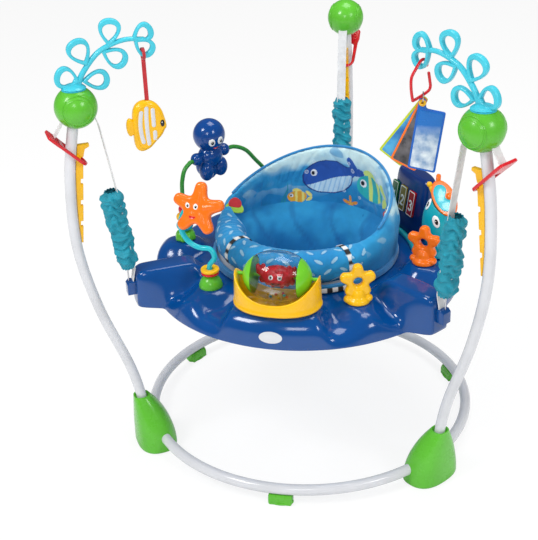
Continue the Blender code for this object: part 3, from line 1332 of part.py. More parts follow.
def build_link(corner):
    hinge = empty("link_axis", corner, LINK_HANG)
    arc = [(LINK_ARC * cos(radians(a)), LINK_ARC * sin(radians(a))) for a in LINK_ARC_TURNS]
    line = smooth_line([(0, t, z) for t, z in arc + list(LINK_LINE)], 30)
    finish(tube("toy_link", line, LINK_WIRE, 6), "toy_link", RED, hinge, roughness=0.25)
    ring_hinge = empty("card_ring_axis", hinge, (0, *LINK_LOW), (0, 0, radians(CARD_RING_TURN)))
    drop = CARD_RING_RADIUS - LINK_WIRE - 3 * GAP - CARD_RING_WIRE
    circle = [(0, CARD_RING_RADIUS * sin(2 * pi * i / 13), -drop - CARD_RING_RADIUS * cos(2 * pi * i / 13))
              for i in range(13)]
    finish(tube("card_ring", circle, CARD_RING_WIRE, 6, cyclic=True), "card_ring", STEEL, ring_hinge,
           roughness=0.3, metallic=1.0)
    low = (0, 0, -drop - CARD_RING_RADIUS)
    return ring_hinge, low


def build_card(name, colour, ring_hinge, low, offset, tilt, drop_extra):
    turn = empty(f"{name}_axis", ring_hinge, low, (0, 0, radians(CARD_TURN - CARD_RING_TURN)))
    w, h, inset = CARD_WIDTH, CARD_HEIGHT, CARD_HOLE_INSET
    left = -inset
    outline = [(left, -h), (left + w, -h), (left + w, -drop_extra), (left + w * 0.30, -drop_extra),
               (left + w * 0.24, inset), (left, inset)]
    card = plate(name, [outline, disc_outline(CARD_HOLE, 10)], CARD_THICKNESS)
    tilted = Euler((pi / 2, radians(tilt), 0))
    finish(card, name, colour, turn, (0, offset, 0), tilted, roughness=0.5)


def build_hanging_toys(corners):
    build_fish(corners["left"])
    ring_hinge, low = build_link(corners["right"])
    build_card("card_front", (0.0, 0.13, 0.55), ring_hinge, low, -CARD_SPREAD, CARD_TILTS[0], CARD_TAB)
    build_card("card_back", (0.9, 0.25, 0.02), ring_hinge, low, CARD_SPREAD, CARD_TILTS[1], CARD_TAB)


def centre_on_footprint(root):
    """Moves the whole object so that its footprint's middle is the origin."""
    bpy.context.view_layer.update()
    graph = bpy.context.evaluated_depsgraph_get()
    low, high = [1e9, 1e9], [-1e9, -1e9]
    for obj in PARTS.objects:
        if obj.type == "EMPTY" or obj.hide_render:
            continue
        evaluated = obj.evaluated_get(graph)
        mesh = evaluated.to_mesh()
        for vertex in mesh.vertices:
            place = evaluated.matrix_world @ vertex.co
            for k in (0, 1):
                low[k], high[k] = min(low[k], place[k]), max(high[k], place[k])
        evaluated.to_mesh_clear()
    root.location = (-(low[0] + high[0]) / 2, -(low[1] + high[1]) / 2, 0)
    print("ring centre is at", tuple(round(v, 5) for v in root.location))


def main():
    root = empty("jumper_frame")
    corners = build_base(root)
    for side, corner in corners.items():
        build_hub(side, corner)
        build_post(side, corner)
        build_head(side, corner)
        build_strap(side, corner)
        build_rack(side, corner)
        build_slider(side, corner)
        build_spring(side, corner)
        build_sleeve(side, corner)
    tray_axis = empty("tray_axis", root)
    build_tray(tray_axis)
    seat_axis = empty("seat_axis", tray_axis)
    build_seat(seat_axis, build_seat_ring(seat_axis))
    build_cradle(tray_axis)
    build_globe(tray_axis)
    build_spiral(tray_axis)
    build_link_star("link_star_front", YELLOW, tray_axis)
    build_link_star("link_star_side", ORANGE, tray_axis)
    build_arch(tray_axis)
    build_octopus(tray_axis)
    build_console(tray_axis)
    for side in ("left", "right"):
        build_leaf_bar(side, corners[side])
    build_hanging_toys(corners)
    centre_on_footprint(root)


main()
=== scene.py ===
"""Looks of the baby activity jumper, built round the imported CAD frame.

Everything is in metres. Pieces are modelled round the centre of the base ring, as in the CAD source,
and moved from there to the frame's own origin.
"""

import json
from math import atan2, cos, degrees, hypot, pi, radians, sin, sqrt

import bmesh
import bpy
import numpy as np
from mathutils import Matrix, Vector, noise
from mathutils.bvhtree import BVHTree

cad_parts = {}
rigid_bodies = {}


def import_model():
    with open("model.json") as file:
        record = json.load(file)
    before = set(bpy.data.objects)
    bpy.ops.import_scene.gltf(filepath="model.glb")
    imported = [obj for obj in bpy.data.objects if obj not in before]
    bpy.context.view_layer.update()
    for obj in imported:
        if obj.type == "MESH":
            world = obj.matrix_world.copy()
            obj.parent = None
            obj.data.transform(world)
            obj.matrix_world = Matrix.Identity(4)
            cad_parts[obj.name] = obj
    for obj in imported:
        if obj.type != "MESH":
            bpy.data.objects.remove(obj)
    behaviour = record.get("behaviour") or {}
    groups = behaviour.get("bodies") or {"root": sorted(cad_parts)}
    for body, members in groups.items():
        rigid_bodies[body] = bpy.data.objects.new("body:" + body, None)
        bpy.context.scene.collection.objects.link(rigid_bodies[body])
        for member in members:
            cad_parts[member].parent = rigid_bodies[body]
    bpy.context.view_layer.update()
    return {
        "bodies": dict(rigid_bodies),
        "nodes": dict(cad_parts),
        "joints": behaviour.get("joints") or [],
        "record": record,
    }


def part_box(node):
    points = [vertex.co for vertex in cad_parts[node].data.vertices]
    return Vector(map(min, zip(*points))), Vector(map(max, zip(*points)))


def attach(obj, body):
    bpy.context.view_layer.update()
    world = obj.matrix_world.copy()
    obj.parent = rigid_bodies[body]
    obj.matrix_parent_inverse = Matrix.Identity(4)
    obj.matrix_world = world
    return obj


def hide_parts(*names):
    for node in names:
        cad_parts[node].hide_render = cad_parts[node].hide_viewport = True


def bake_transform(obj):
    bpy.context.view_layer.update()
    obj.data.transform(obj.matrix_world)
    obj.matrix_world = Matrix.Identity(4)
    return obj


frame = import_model()

RING_LOW, RING_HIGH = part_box("seat_ring")
CENTRE = Vector(((RING_LOW.x + RING_HIGH.x) / 2, (RING_LOW.y + RING_HIGH.y) / 2, 0))
HOME = Matrix.Translation(CENTRE)
POST_ANGLES = {"left": 213.0, "right": 327.0, "back": 90.0}
CORNERS = {side: HOME @ Matrix.Rotation(radians(a), 4, "Z") for side, a in POST_ANGLES.items()}
GAP = 0.0003
SAME_POINT = 0.000002


# ---- Shapes ----

move = Matrix.Translation


def spin(angle, axis):
    """A turn by degrees about X, Y or Z."""
    return Matrix.Rotation(radians(angle), 4, axis)


UPRIGHT, LYING = spin(90, "X"), spin(90, "Y")


def step(low, high, value):
    """0 below low, 1 above high, and a smooth rise between."""
    f = min(1.0, max(0.0, (value - low) / (high - low)))
    return f * f * (3 - 2 * f)


def mix(a, b, share):
    """Numbers between two tuples, at a share of the way from the first."""
    return tuple(p + (q - p) * share for p, q in zip(a, b))


def turns(count):
    """Evenly spaced angles round a circle, in radians."""
    return [2 * pi * i / count for i in range(count)]


def squared(wave, power):
    """A sine or cosine pushed outwards, for rings between an oval and a box."""
    return abs(wave) ** power * (1 if wave > 0 else -1)


def between(a, b, c, d, f):
    """The point at share f from b to c, on a smooth curve through all four."""
    return ((2 * b) + (c - a) * f + (2 * a - 5 * b + 4 * c - d) * f * f
            + (3 * b - a - 3 * c + d) * f ** 3) / 2


def smooth_line(points, count):
    """Evenly numbered points on a smooth curve through the given ones."""
    points = [Vector(p) for p in points]
    ends = [points[0] * 2 - points[1], *points, points[-1] * 2 - points[-2]]
    spans = len(points) - 1
    line = []
    for i in range(count):
        u = i / (count - 1) * spans
        k = min(int(u), spans - 1)
        line.append(between(*ends[k:k + 4], u - k))
    return line


def smooth_loop(points, count):
    """Points on a smooth closed curve through the given ones."""
    points = [Vector(p) for p in points]
    total = len(points)
    line = []
    for i in range(count):
        u = i / count * total
        k = int(u)
        line.append(between(*(points[(k + j - 1) % total] for j in range(4)), u - k))
    return line


def flat_loop(points, count):
    return [(p.x, p.y) for p in smooth_loop(points, count)]


def upright_line(points, count):
    """A smooth line in the XZ plane."""
    return [Vector((p.x, 0, p.y)) for p in smooth_line(points, count)]


def oval_outline(half_x, half_y, count=64):
    return [(half_x * cos(a), half_y * sin(a)) for a in turns(count)]


def disc(radius, count=40):
    return oval_outline(radius, radius, count)


def arc(angles, half_x, half_y=None, centre=(0, 0)):
    """Points of a circle or an oval at the given angles in degrees."""
    half_y = half_y or half_x
    return [(centre[0] + half_x * cos(radians(a)), centre[1] + half_y * sin(radians(a))) for a in angles]


def evenly(start, end, spans):
    """Numbers from start to end with equal spans between them."""
    return [start + (end - start) * i / spans for i in range(spans + 1)]


def polar(angle, distance, height=0.0):
    """A place by its angle in degrees, its distance from the middle and its height."""
    return Vector((distance * cos(radians(angle)), distance * sin(radians(angle)), height))


def radial(place):
    """A place in a corner's radial plane, given as (distance, height)."""
    return Vector((place[0], 0.0, place[1]))


def linked(name, data):
    """A new object in the scene."""
    made = bpy.data.objects.new(name, data)
    bpy.context.scene.collection.objects.link(made)
    return made


def raw(name, verts, faces):
    mesh = bpy.data.meshes.new(name)
    mesh.from_pydata([tuple(v) for v in verts], [], faces)
    mesh.validate()
    return linked(name, mesh)


def loft(name, rings, closed=False, caps=True):
    """Faces between rings of equal length."""
    count, around = len(rings), len(rings[0])
    verts = [p for ring in rings for p in ring]
    faces = []
    for i in range(count if closed else count - 1):
        for j in range(around):
            k = (j + 1) % around
            low, high = i * around, (i + 1) % count * around
            faces.append((low + j, low + k, high + k, high + j))
    if caps and not closed:
        faces.append(tuple(range(around))[::-1])
        faces.append(tuple((count - 1) * around + j for j in range(around)))
    return outward(raw(name, verts, faces))


def outward(obj):
    shape = bmesh.new()
    shape.from_mesh(obj.data)
    bmesh.ops.remove_doubles(shape, verts=shape.verts, dist=SAME_POINT)
    bmesh.ops.recalc_face_normals(shape, faces=shape.faces)
    shape.to_mesh(obj.data)
    shape.free()
    return obj


def turned(name, profile, around=48, closed=True, matrix=None):
    """A profile of (radius, height) points turned round Z; points at radius 0 close it."""
    rows = [[(r * cos(a), r * sin(a), z) for a in turns(around)] for r, z in profile]
    ring_shaped = closed and profile[0][0] > 0.0005 and profile[-1][0] > 0.0005
    made = loft(name, rows, closed=ring_shaped, caps=not ring_shaped)
    if matrix is not None:
        made.data.transform(matrix)
    return made


def rounded_box(near, low, far, high, radius):
    middle = ((near + far) / 2, low)
    return rounded([middle, (far, low), (far, high), (near, high), (near, low), middle], radius, 5)[:-1]


def rounded(profile, radius=0.0015, steps=3):
    """The profile with each inner corner replaced by a short round."""
    points = [Vector(p) for p in profile]
    line = [tuple(points[0])]
    for before, here, after in zip(points, points[1:], points[2:]):
        first, second = (before - here), (after - here)
        reach = min(radius, first.length * 0.45, second.length * 0.45)
        if reach < 1e-6:
            line.append(tuple(here))
            continue
        a, b = here + first.normalized() * reach, here + second.normalized() * reach
        for i in range(steps + 1):
            u = i / steps
            line.append(tuple(a * (1 - u) ** 2 + here * 2 * u * (1 - u) + b * u * u))
    line.append(tuple(points[-1]))
    return line


def sweep(name, line, radius, sides=16, cyclic=False, flat=None, plane=None):
    """A tube along a line, with round ends. flat is its half thickness along the plane's normal."""
    line = [Vector(p) for p in line]
    count = len(line)
    rings, normal = [], None
    for i, point in enumerate(line):
        before = line[i - 1] if (i or cyclic) else point
        after = line[(i + 1) % count] if (i < count - 1 or cyclic) else point
        tangent = (after - before).normalized()
        if plane is not None:
            up = Vector(plane)
        elif normal is None:
            up = tangent.orthogonal().normalized()
        else:
            up = normal
        up = (up - tangent * up.dot(tangent)).normalized()
        normal = up
        side = tangent.cross(up)
        r = radius(i / (count - 1)) if callable(radius) else radius
        thick = flat or r
        rings.append([point + side * r * cos(a) + up * thick * sin(a) for a in turns(sides)])
    if cyclic:
        return loft(name, rings, closed=True)
    first = [shrunk(rings[0], line[0], line[0] - line[1], share) for share in (0.35, 0.75)]
    last = [shrunk(rings[-1], line[-1], line[-1] - line[-2], share) for share in (0.75, 0.35)]
    return loft(name, first + rings + last)


def plug(radius, low, high, around, matrix=None):
    """A round rod along Z that cuts a hole."""
    return turned("plug", [(0.0, low), (radius, low), (radius, high), (0.0, high)], around, matrix=matrix)


def shrunk(ring, centre, beyond, share):
    """A smaller copy of a tube's last ring, pushed out to round the end."""
    radius = (ring[0] - centre).length
    push = beyond.normalized() * radius * sqrt(max(0.0, 1 - share * share)) * 0.8
    return [centre + (p - centre) * share + push for p in ring]


def meshed(name, shape):
    """An object from a bmesh, which it frees."""
    mesh = bpy.data.meshes.new(name)
    shape.to_mesh(mesh)
    shape.free()
    return linked(name, mesh)


def ball(name, radii, centre=(0, 0, 0), around=32, levels=20):
    shape = bmesh.new()
    bmesh.ops.create_uvsphere(shape, u_segments=around, v_segments=levels, radius=1.0)
    shape.transform(move(centre) @ Matrix.Diagonal((*radii, 1)))
    return meshed(name, shape)


def slab(name, outline, thickness, bevel=0.001, matrix=None, segments=3, holes=()):
    """A flat outline in XY with a thickness along Z and rounded edges."""
    curve = bpy.data.curves.new(name, "CURVE")
    curve.dimensions = "2D"
    curve.fill_mode = "BOTH"
    curve.extrude = thickness / 2 - bevel
    curve.bevel_depth = bevel
    curve.bevel_resolution = segments
    curve.offset = -bevel
    for ring in (outline, *holes):
        spline = curve.splines.new("POLY")
        spline.points.add(len(ring) - 1)
        for point, place in zip(spline.points, ring):
            point.co = (place[0], place[1], 0.0, 1.0)
        spline.use_cyclic_u = True
    made = settled(linked(name, curve))
    if matrix is not None:
        made.data.transform(matrix)
    return outward(made)


def settled(obj):
    """The object as a plain mesh with its modifiers applied; the old object goes."""
    bpy.context.view_layer.update()
    graph = bpy.context.evaluated_depsgraph_get()
    mesh = bpy.data.meshes.new_from_object(obj.evaluated_get(graph))
    mesh.transform(obj.matrix_world)
    name = obj.name
    bpy.data.objects.remove(obj, do_unlink=True)
    made = linked(name, mesh)
    made.name = name
    return made


def joined(name, objects):
    """One object that holds the meshes of several."""
    shape = bmesh.new()
    for obj in objects:
        shape.from_mesh(obj.data)
        bpy.data.objects.remove(obj, do_unlink=True)
    made = meshed(name, shape)
    made.name = name
    return made


def add_skin(obj, voxel):
    remesh = obj.modifiers.new("skin", "REMESH")
    remesh.mode = "VOXEL"
    remesh.voxel_size = voxel


def softened(obj, rounds):
    soften = obj.modifiers.new("soften", "SMOOTH")
    soften.factor = 0.5
    soften.iterations = rounds
    return settled(obj)


def fused(name, objects, voxel, rounds):
    """One smooth skin over several overlapping shapes, with soft fillets where they meet."""
    made = joined(name, objects)
    add_skin(made, voxel)
    return softened(made, rounds)


def cut(obj, tool):
    """The object without what lies inside the tool, which goes."""
    modifier = obj.modifiers.new("cut", "BOOLEAN")
    modifier.operation = "DIFFERENCE"
    modifier.solver = "EXACT"
    modifier.object = tool
    made = settled(obj)
    bpy.data.objects.remove(tool, do_unlink=True)
    return made


def coloured(obj, material, matrix, sharp=None):
    """Moves a finished shape into the frame and gives it its material and soft or sharp edges."""
    obj.data.transform(matrix)
    obj.data.materials.clear()
    obj.data.materials.append(material)
    obj.data.shade_smooth()
    if sharp:
        obj.data.set_sharp_from_angle(angle=radians(sharp))


def dress(obj, material, body, matrix=HOME, replaces=(), sharp=35):
    """Colours a finished shape and hangs it on its body."""
    coloured(obj, material, matrix, sharp)
    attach(obj, body)
    if replaces:
        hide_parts(*([replaces] if isinstance(replaces, str) else replaces))
    return obj


def search_tree(obj):
    return BVHTree.FromPolygons([v.co for v in obj.data.vertices], [p.vertices for p in obj.data.polygons])


def surface_point(obj, start, direction):
    """(place, normal) where a ray first meets the object's mesh, or the mesh's nearest point."""
    tree = search_tree(obj)
    place, normal, _, _ = tree.ray_cast(Vector(start), Vector(direction).normalized())
    if place is None:
        place, normal, _, _ = tree.find_nearest(Vector(start))
    return place, normal


def facing(normal, up=(0, 0, 1)):
    """A rotation whose Z is the normal and whose Y leans towards up."""
    z = Vector(normal).normalized()
    x = Vector(up).cross(z).normalized()
    y = z.cross(x)
    return Matrix((x, y, z)).transposed().to_4x4()


def standing(surface, start, direction, up=(0, 0, 1)):
    """A place on a surface as a matrix, with Z outwards."""
    place, normal = surface_point(surface, start, direction)
    return move(place) @ facing(normal, up)


# ---- Materials ----

def shaded(name, colour, roughness=0.4):
    made = bpy.data.materials.new(name)
    made.use_nodes = True
    tree = made.node_tree
    shader = tree.nodes["Principled BSDF"]
    shader.inputs["Base Color"].default_value = (*colour, 1.0)
    shader.inputs["Roughness"].default_value = roughness
    made.diffuse_color = (*colour, 1.0)
    return made, tree, shader


def node(tree, kind, **values):
    """A new shader node. Each value is the default of the input of that name, with _ for a space."""
    made = tree.nodes.new(f"ShaderNode{kind}")
    for key, value in values.items():
        made.inputs[key.replace("_", " ")].default_value = value
    return made


def colour_mix(tree, blend_type="MIX"):
    """A node that mixes colours, with its two colour inputs and its colour output."""
    made = node(tree, "Mix")
    made.data_type = "RGBA"
    made.blend_type = blend_type
    sockets = [s for s in made.inputs if s.type == "RGBA"]
    return made, sockets, [s for s in made.outputs if s.type == "RGBA"][0]


def grain(tree, scale, detail=4.0):
    """Noise that follows the object's own coordinates."""
    coords = node(tree, "TexCoord")
    texture = node(tree, "TexNoise", Scale=scale, Detail=detail)
    tree.links.new(coords.outputs["Object"], texture.inputs["Vector"])
    return texture.outputs["Fac"]


def ranged(tree, source, low=0.0, high=1.0):
    made = node(tree, "MapRange", From_Min=0.3, From_Max=0.7, To_Min=low, To_Max=high)
    tree.links.new(source, made.inputs["Value"])
    return made.outputs["Result"]


def tinted(tree, share, first, second):
    """A colour between two, by a share that varies over the surface."""
    made, sockets, result = colour_mix(tree)
    for socket, colour in zip(sockets, (first, second)):
        socket.default_value = (*colour, 1.0)
    tree.links.new(share, made.inputs["Factor"])
    return result


def worn(tree, shader, scale, low, high, detail=4.0):
    """Roughness that varies over the surface."""
    tree.links.new(ranged(tree, grain(tree, scale, detail), low, high), shader.inputs["Roughness"])


def bumped(tree, shader, height, strength, distance):
    bump = node(tree, "Bump", Strength=strength, Distance=distance)
    tree.links.new(height, bump.inputs["Height"])
    tree.links.new(bump.outputs["Normal"], shader.inputs["Normal"])


def shade(colour, share):
    return tuple(min(1.0, c * share) for c in colour)


def moulded(name, colour, roughness=0.3, coat=0.25):
    """Injection-moulded plastic: slight colour drift, a fine orange-peel surface and handled patches."""
    made, tree, shader = shaded(name, colour, roughness)
    share = ranged(tree, grain(tree, 14.0, 3.0))
    tree.links.new(tinted(tree, share, shade(colour, 0.93), shade(colour, 1.06)), shader.inputs["Base Color"])
    worn(tree, shader, 45.0, roughness * 0.85, roughness * 1.25, 6.0)
    bumped(tree, shader, grain(tree, 420.0, 2.0), 0.08, 0.0002)
    shader.inputs["Specular IOR Level"].default_value = 0.4
    shader.inputs["Coat Weight"].default_value = coat
    shader.inputs["Coat Roughness"].default_value = 0.06
    return made


THREAD_WAVE = 0.314


def woven(name, colour, thread=0.0009, sheen=0.35, attribute=None, rough=0.85):
    """Woven cloth; its colour may come from a printed pattern stored on the mesh."""
    made, tree, shader = shaded(name, colour, rough)
    coords = node(tree, "TexCoord")
    heights = []
    for turn in ((0.0, 0.6, 0.0), (0.6, 0.0, 1.5708)):
        mapping = node(tree, "Mapping", Rotation=turn)
        tree.links.new(coords.outputs["Object"], mapping.inputs["Vector"])
        wave = node(tree, "TexWave", Scale=THREAD_WAVE / thread, Distortion=0.6)
        tree.links.new(mapping.outputs["Vector"], wave.inputs["Vector"])
        heights.append(wave.outputs["Fac"])
    both = node(tree, "Math")
    both.operation = "MULTIPLY"
    for height, socket in zip(heights, both.inputs):
        tree.links.new(height, socket)
    bumped(tree, shader, both.outputs["Value"], 0.35, thread * 0.5)
    share = ranged(tree, grain(tree, 60.0, 6.0))
    if attribute:
        stored = node(tree, "Attribute")
        stored.attribute_name = attribute
        blend, sockets, result = colour_mix(tree, "MULTIPLY")
        blend.inputs["Factor"].default_value = 1.0
        tree.links.new(stored.outputs["Color"], sockets[0])
        tree.links.new(tinted(tree, share, (0.90, 0.90, 0.90), (1.0, 1.0, 1.0)), sockets[1])
        tree.links.new(result, shader.inputs["Base Color"])
    else:
        tree.links.new(tinted(tree, share, shade(colour, 0.85), shade(colour, 1.1)),
                       shader.inputs["Base Color"])
    shader.inputs["Sheen Weight"].default_value = sheen
    shader.inputs["Sheen Roughness"].default_value = 0.5
    return made


def metal(name, colour, roughness):
    made, tree, shader = shaded(name, colour, roughness)
    shader.inputs["Metallic"].default_value = 1.0
    worn(tree, shader, 120.0, roughness * 0.8, roughness * 1.3)
    return made


def clear_plastic(name):
    made, tree, shader = shaded(name, (0.96, 0.98, 1.0), 0.03)
    shader.inputs["Transmission Weight"].default_value = 1.0
    shader.inputs["IOR"].default_value = 1.30
    worn(tree, shader, 30.0, 0.02, 0.05)
    return made


SKY_FADE = (0.745, 0.772)


def pictured(name, dark, pale, scale, sky=None):
    """Laminated card with a soft printed picture in two tones, and a plain sky over it."""
    made, tree, shader = shaded(name, pale, 0.3)
    colour = tinted(tree, ranged(tree, grain(tree, scale, 3.0)), dark, pale)
    if sky:
        coords, split = node(tree, "TexCoord"), node(tree, "SeparateXYZ")
        tree.links.new(coords.outputs["Object"], split.inputs["Vector"])
        height = node(tree, "MapRange", From_Min=SKY_FADE[0], From_Max=SKY_FADE[1])
        tree.links.new(split.outputs["Z"], height.inputs["Value"])
        blend, sockets, result = colour_mix(tree)
        tree.links.new(height.outputs["Result"], blend.inputs["Factor"])
        tree.links.new(colour, sockets[0])
        sockets[1].default_value = (*sky, 1.0)
        colour = result
    tree.links.new(colour, shader.inputs["Base Color"])
    worn(tree, shader, 80.0, 0.24, 0.38)
    return made


FOAM_PICTURE = pictured("foam_picture", (0.20, 0.34, 0.55), (0.80, 0.88, 0.92), 55.0, (0.004, 0.15, 0.52))
NIGHT_PICTURE = pictured("night_picture", (0.020, 0.020, 0.024), (0.17, 0.16, 0.17), 40.0)
REEF_PICTURE = pictured("reef_picture", (0.010, 0.10, 0.38), (0.08, 0.42, 0.72), 30.0)
WHITE = moulded("white_enamel", (0.68, 0.69, 0.72), 0.20, 0.4)
GREEN = moulded("green_plastic", (0.11, 0.50, 0.030), 0.26)
DARK_GREEN = moulded("deep_green_plastic", (0.03, 0.26, 0.03), 0.3)
LIME = moulded("lime_plastic", (0.52, 0.62, 0.02), 0.28)
CYAN = moulded("cyan_plastic", (0.060, 0.58, 0.72), 0.3)
RED = moulded("red_plastic", (0.66, 0.010, 0.02), 0.25)
YELLOW = moulded("yellow_plastic", (0.92, 0.50, 0.002), 0.26)
ORANGE = moulded("orange_plastic", (0.93, 0.17, 0.003), 0.26)
TRAY_BLUE = moulded("tray_blue_plastic", (0.0002, 0.062, 0.26), 0.14, 0.35)
NAVY = moulded("navy_plastic", (0.0015, 0.024, 0.15), 0.18, 0.3)
OCTOPUS_BLUE = moulded("octopus_blue_plastic", (0.0015, 0.055, 0.26), 0.15, 0.35)
TEAL = moulded("teal_plastic", (0.004, 0.36, 0.44), 0.22)
BLACK = moulded("black_plastic", (0.012, 0.012, 0.014), 0.2)
EYE_WHITE = moulded("eye_white_plastic", (0.85, 0.86, 0.85), 0.2)
STEEL = metal("spring_steel", (0.62, 0.62, 0.64), 0.28)
CLEAR = clear_plastic("clear_plastic")
TEAL_CLOTH = woven("teal_cloth", (0.002, 0.29, 0.40), 0.0008, 0.06, rough=0.6)
WEBBING = woven("white_webbing", (0.78, 0.79, 0.80), 0.0012, 0.2)
SEAT_CLOTH = woven("printed_seat_cloth", (0.10, 0.40, 0.75), 0.0009, 0.08, attribute="print")
SEAT_EDGE_CLOTH = woven("seat_edge_cloth", (0.010, 0.22, 0.52), 0.0007)
PIPING_CLOTH = woven("piping_cloth", (0.012, 0.11, 0.42), 0.0007)
LIME_CLOTH = woven("lime_cloth", (0.36, 0.62, 0.06), 0.0007)
RED_CLOTH = woven("red_cloth", (0.55, 0.02, 0.03), 0.0007)
PINK = moulded("pink_plastic", (0.90, 0.30, 0.32), 0.3)
TURQUOISE = moulded("turquoise_plastic", (0.01, 0.50, 0.60), 0.22)
GLOBE_GREEN = moulded("bright_green_plastic", (0.16, 0.58, 0.02), 0.22)
CARD_BLUE = moulded("blue_card_edge", (0.006, 0.12, 0.52), 0.45, 0.05)
KEY_GREEN = moulded("key_green_plastic", (0.015, 0.16, 0.055), 0.2)
KEY_OLIVE = moulded("key_olive_plastic", (0.22, 0.17, 0.015), 0.2)
KEY_RED = moulded("key_red_plastic", (0.38, 0.008, 0.016), 0.2)


# ---- Base, posts, heads and height adjusters ----

RING_RADIUS = 0.36
RING_HEIGHT = 0.032
RING_TUBE = 0.0115
RING_BREAK = 0.0075
FOOT_PAD = (0.026, 0.050, 0.0215)
FOOT_SOLE = (0.0155, 0.027)
HUB_HEIGHT = 0.124
HUB_CENTRE, HUB_MOUTH = 0.368, 0.3915
HUB_DEPTH, HUB_WIDTH, HUB_COLLAR = 0.044, 0.063, 0.0175
POST_TUBE = 0.011
POST_LINE = (
    (0.386, 0.051), (0.391, 0.118), (0.411, 0.208), (0.461, 0.355),
    (0.491, 0.503), (0.489, 0.651), (0.4685, 0.775),
)
HEAD_CENTRE = (0.461, 0.798)
HEAD_RADIUS = 0.042
HEAD_CAP_RADIUS = 0.0275
HEAD_CAP_REACH = 0.0348
STRAP_THICKNESS = 0.0016
STRAP_WIDTH = 0.020
SELVAGE = 0.0012
STRAP_ARCH = 0.0265
STRAP_ARCH_CENTRE = (0.459, 0.789)
STRAP_OUTER_END = (0.5095, 0.7445)
STRAP_OUTER_BEND, STRAP_INNER_BEND = (0.4945, 0.766), (0.4215, 0.757)
STRAP_SLEEVE_TOP = (0.4005, 0.622)
STRAP_SLEEVE_FOOT = (0.3792, 0.4385)
STRAP_TRAY_END = (0.3855, 0.4083)


def base_and_posts():
    gap = degrees(RING_BREAK / RING_RADIUS)
    ends = (("front", "left", "right"), ("right", "right", "back"), ("left", "back", "left"))
    for side, first, second in ends:
        start, end = POST_ANGLES[first] + gap, POST_ANGLES[second] - gap
        end += 360.0 if end < start else 0.0
        line = [polar(a, RING_RADIUS, RING_HEIGHT) for a in evenly(start, end, 64)]
        dress(sweep(f"ring_tube_{side}", line, RING_TUBE, 24), WHITE, "frame", replaces=f"base_tube_{side}")
        foot(side)
    for side, corner in CORNERS.items():
        dress(sweep(f"curved_post_{side}", upright_line(POST_LINE, 60), POST_TUBE, 28), WHITE, "frame",
              corner, f"post_{side}")
        hub(side, corner)
        head(side, corner)


def foot(side):
    """A green pad under the ring's tube, on a flat sole."""
    low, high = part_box(f"ring_foot_{side}")
    centre = (low + high) / 2 - CENTRE
    angle = degrees(atan2(centre.y, centre.x))
    width, length, height = FOOT_PAD
    outline = [(-width / 2, 0.0), (width / 2, 0.0), (width / 2, height * 0.62), (width * 0.36, height),
               (-width * 0.36, height), (-width / 2, height * 0.62)]
    block = slab(f"foot_pad_{side}", outline, length, 0.004, UPRIGHT, 4)
    flat = slab(f"foot_sole_{side}", oval_outline(*FOOT_SOLE), 0.005, 0.0015, move((0, 0, 0.0025)))
    pad = joined(f"foot_pad_{side}", [block, flat])
    pad.data.transform(move(polar(angle, RING_RADIUS)) @ spin(angle, "Z"))
    dress(pad, GREEN, "frame", replaces=f"ring_foot_{side}")


def hub(side, corner):
    """The green foot where the ring and the post meet: wide and flat below, a collar at the top."""
    rings = []
    levels = [0.0, 0.012, 0.03] + [0.03 + 0.95 * i / 22 for i in range(1, 23)] + [1.0, 1.0]
    for n, u in enumerate(levels):
        narrow = u ** 2.0
        pinch = 0.955 if n == 0 else 0.985 if n == 1 else 1.0
        pinch = 0.86 if n == len(levels) - 1 else pinch
        x0 = HUB_CENTRE + (HUB_MOUTH - HUB_CENTRE) * narrow
        depth = (HUB_DEPTH + (HUB_COLLAR - HUB_DEPTH) * narrow) * pinch
        width = (HUB_WIDTH + (HUB_COLLAR - HUB_WIDTH) * u ** 1.8) * pinch
        rings.append([(x0 + depth * squared(cos(a), 0.8), width * squared(sin(a), 0.8), HUB_HEIGHT * u)
                      for a in turns(56)])
    rings.append([(HUB_MOUTH + (p[0] - HUB_MOUTH) * 0.80, p[1] * 0.80, HUB_HEIGHT - 0.006)
                  for p in rings[-1]])
    dress(loft(f"corner_foot_{side}", rings), GREEN, "frame", corner, f"base_hub_{side}", 60)


def head(side, corner):
    """The round head: a ball with a raised disc on each side."""
    skull = ball(f"round_head_{side}", (HEAD_RADIUS,) * 3, around=64, levels=40)
    skull.data.transform(move(radial(HEAD_CENTRE)))
    pieces = [skull]
    for sign in (-1, 1):
        profile = rounded([(0.0, 0.0365), (0.017, 0.0352), (HEAD_CAP_RADIUS - 0.002, HEAD_CAP_REACH),
                           (HEAD_CAP_RADIUS, HEAD_CAP_REACH - 0.002), (HEAD_CAP_RADIUS, 0.020), (0.0, 0.020)])
        across = move(radial(HEAD_CENTRE)) @ spin(-90 * sign, "X")
        pieces.append(turned(f"disc_{sign}", profile, 56, matrix=across))
        ring = [(0.0305 + 0.0011 * cos(a), 0.0292 + 0.0011 * sin(a)) for a in np.linspace(0, 2 * pi, 9)[:-1]]
        pieces.append(turned(f"rim_{sign}", ring, 56, matrix=across))
    dress(joined(f"round_head_{side}", pieces), GREEN, "frame", corner, f"post_head_{side}")


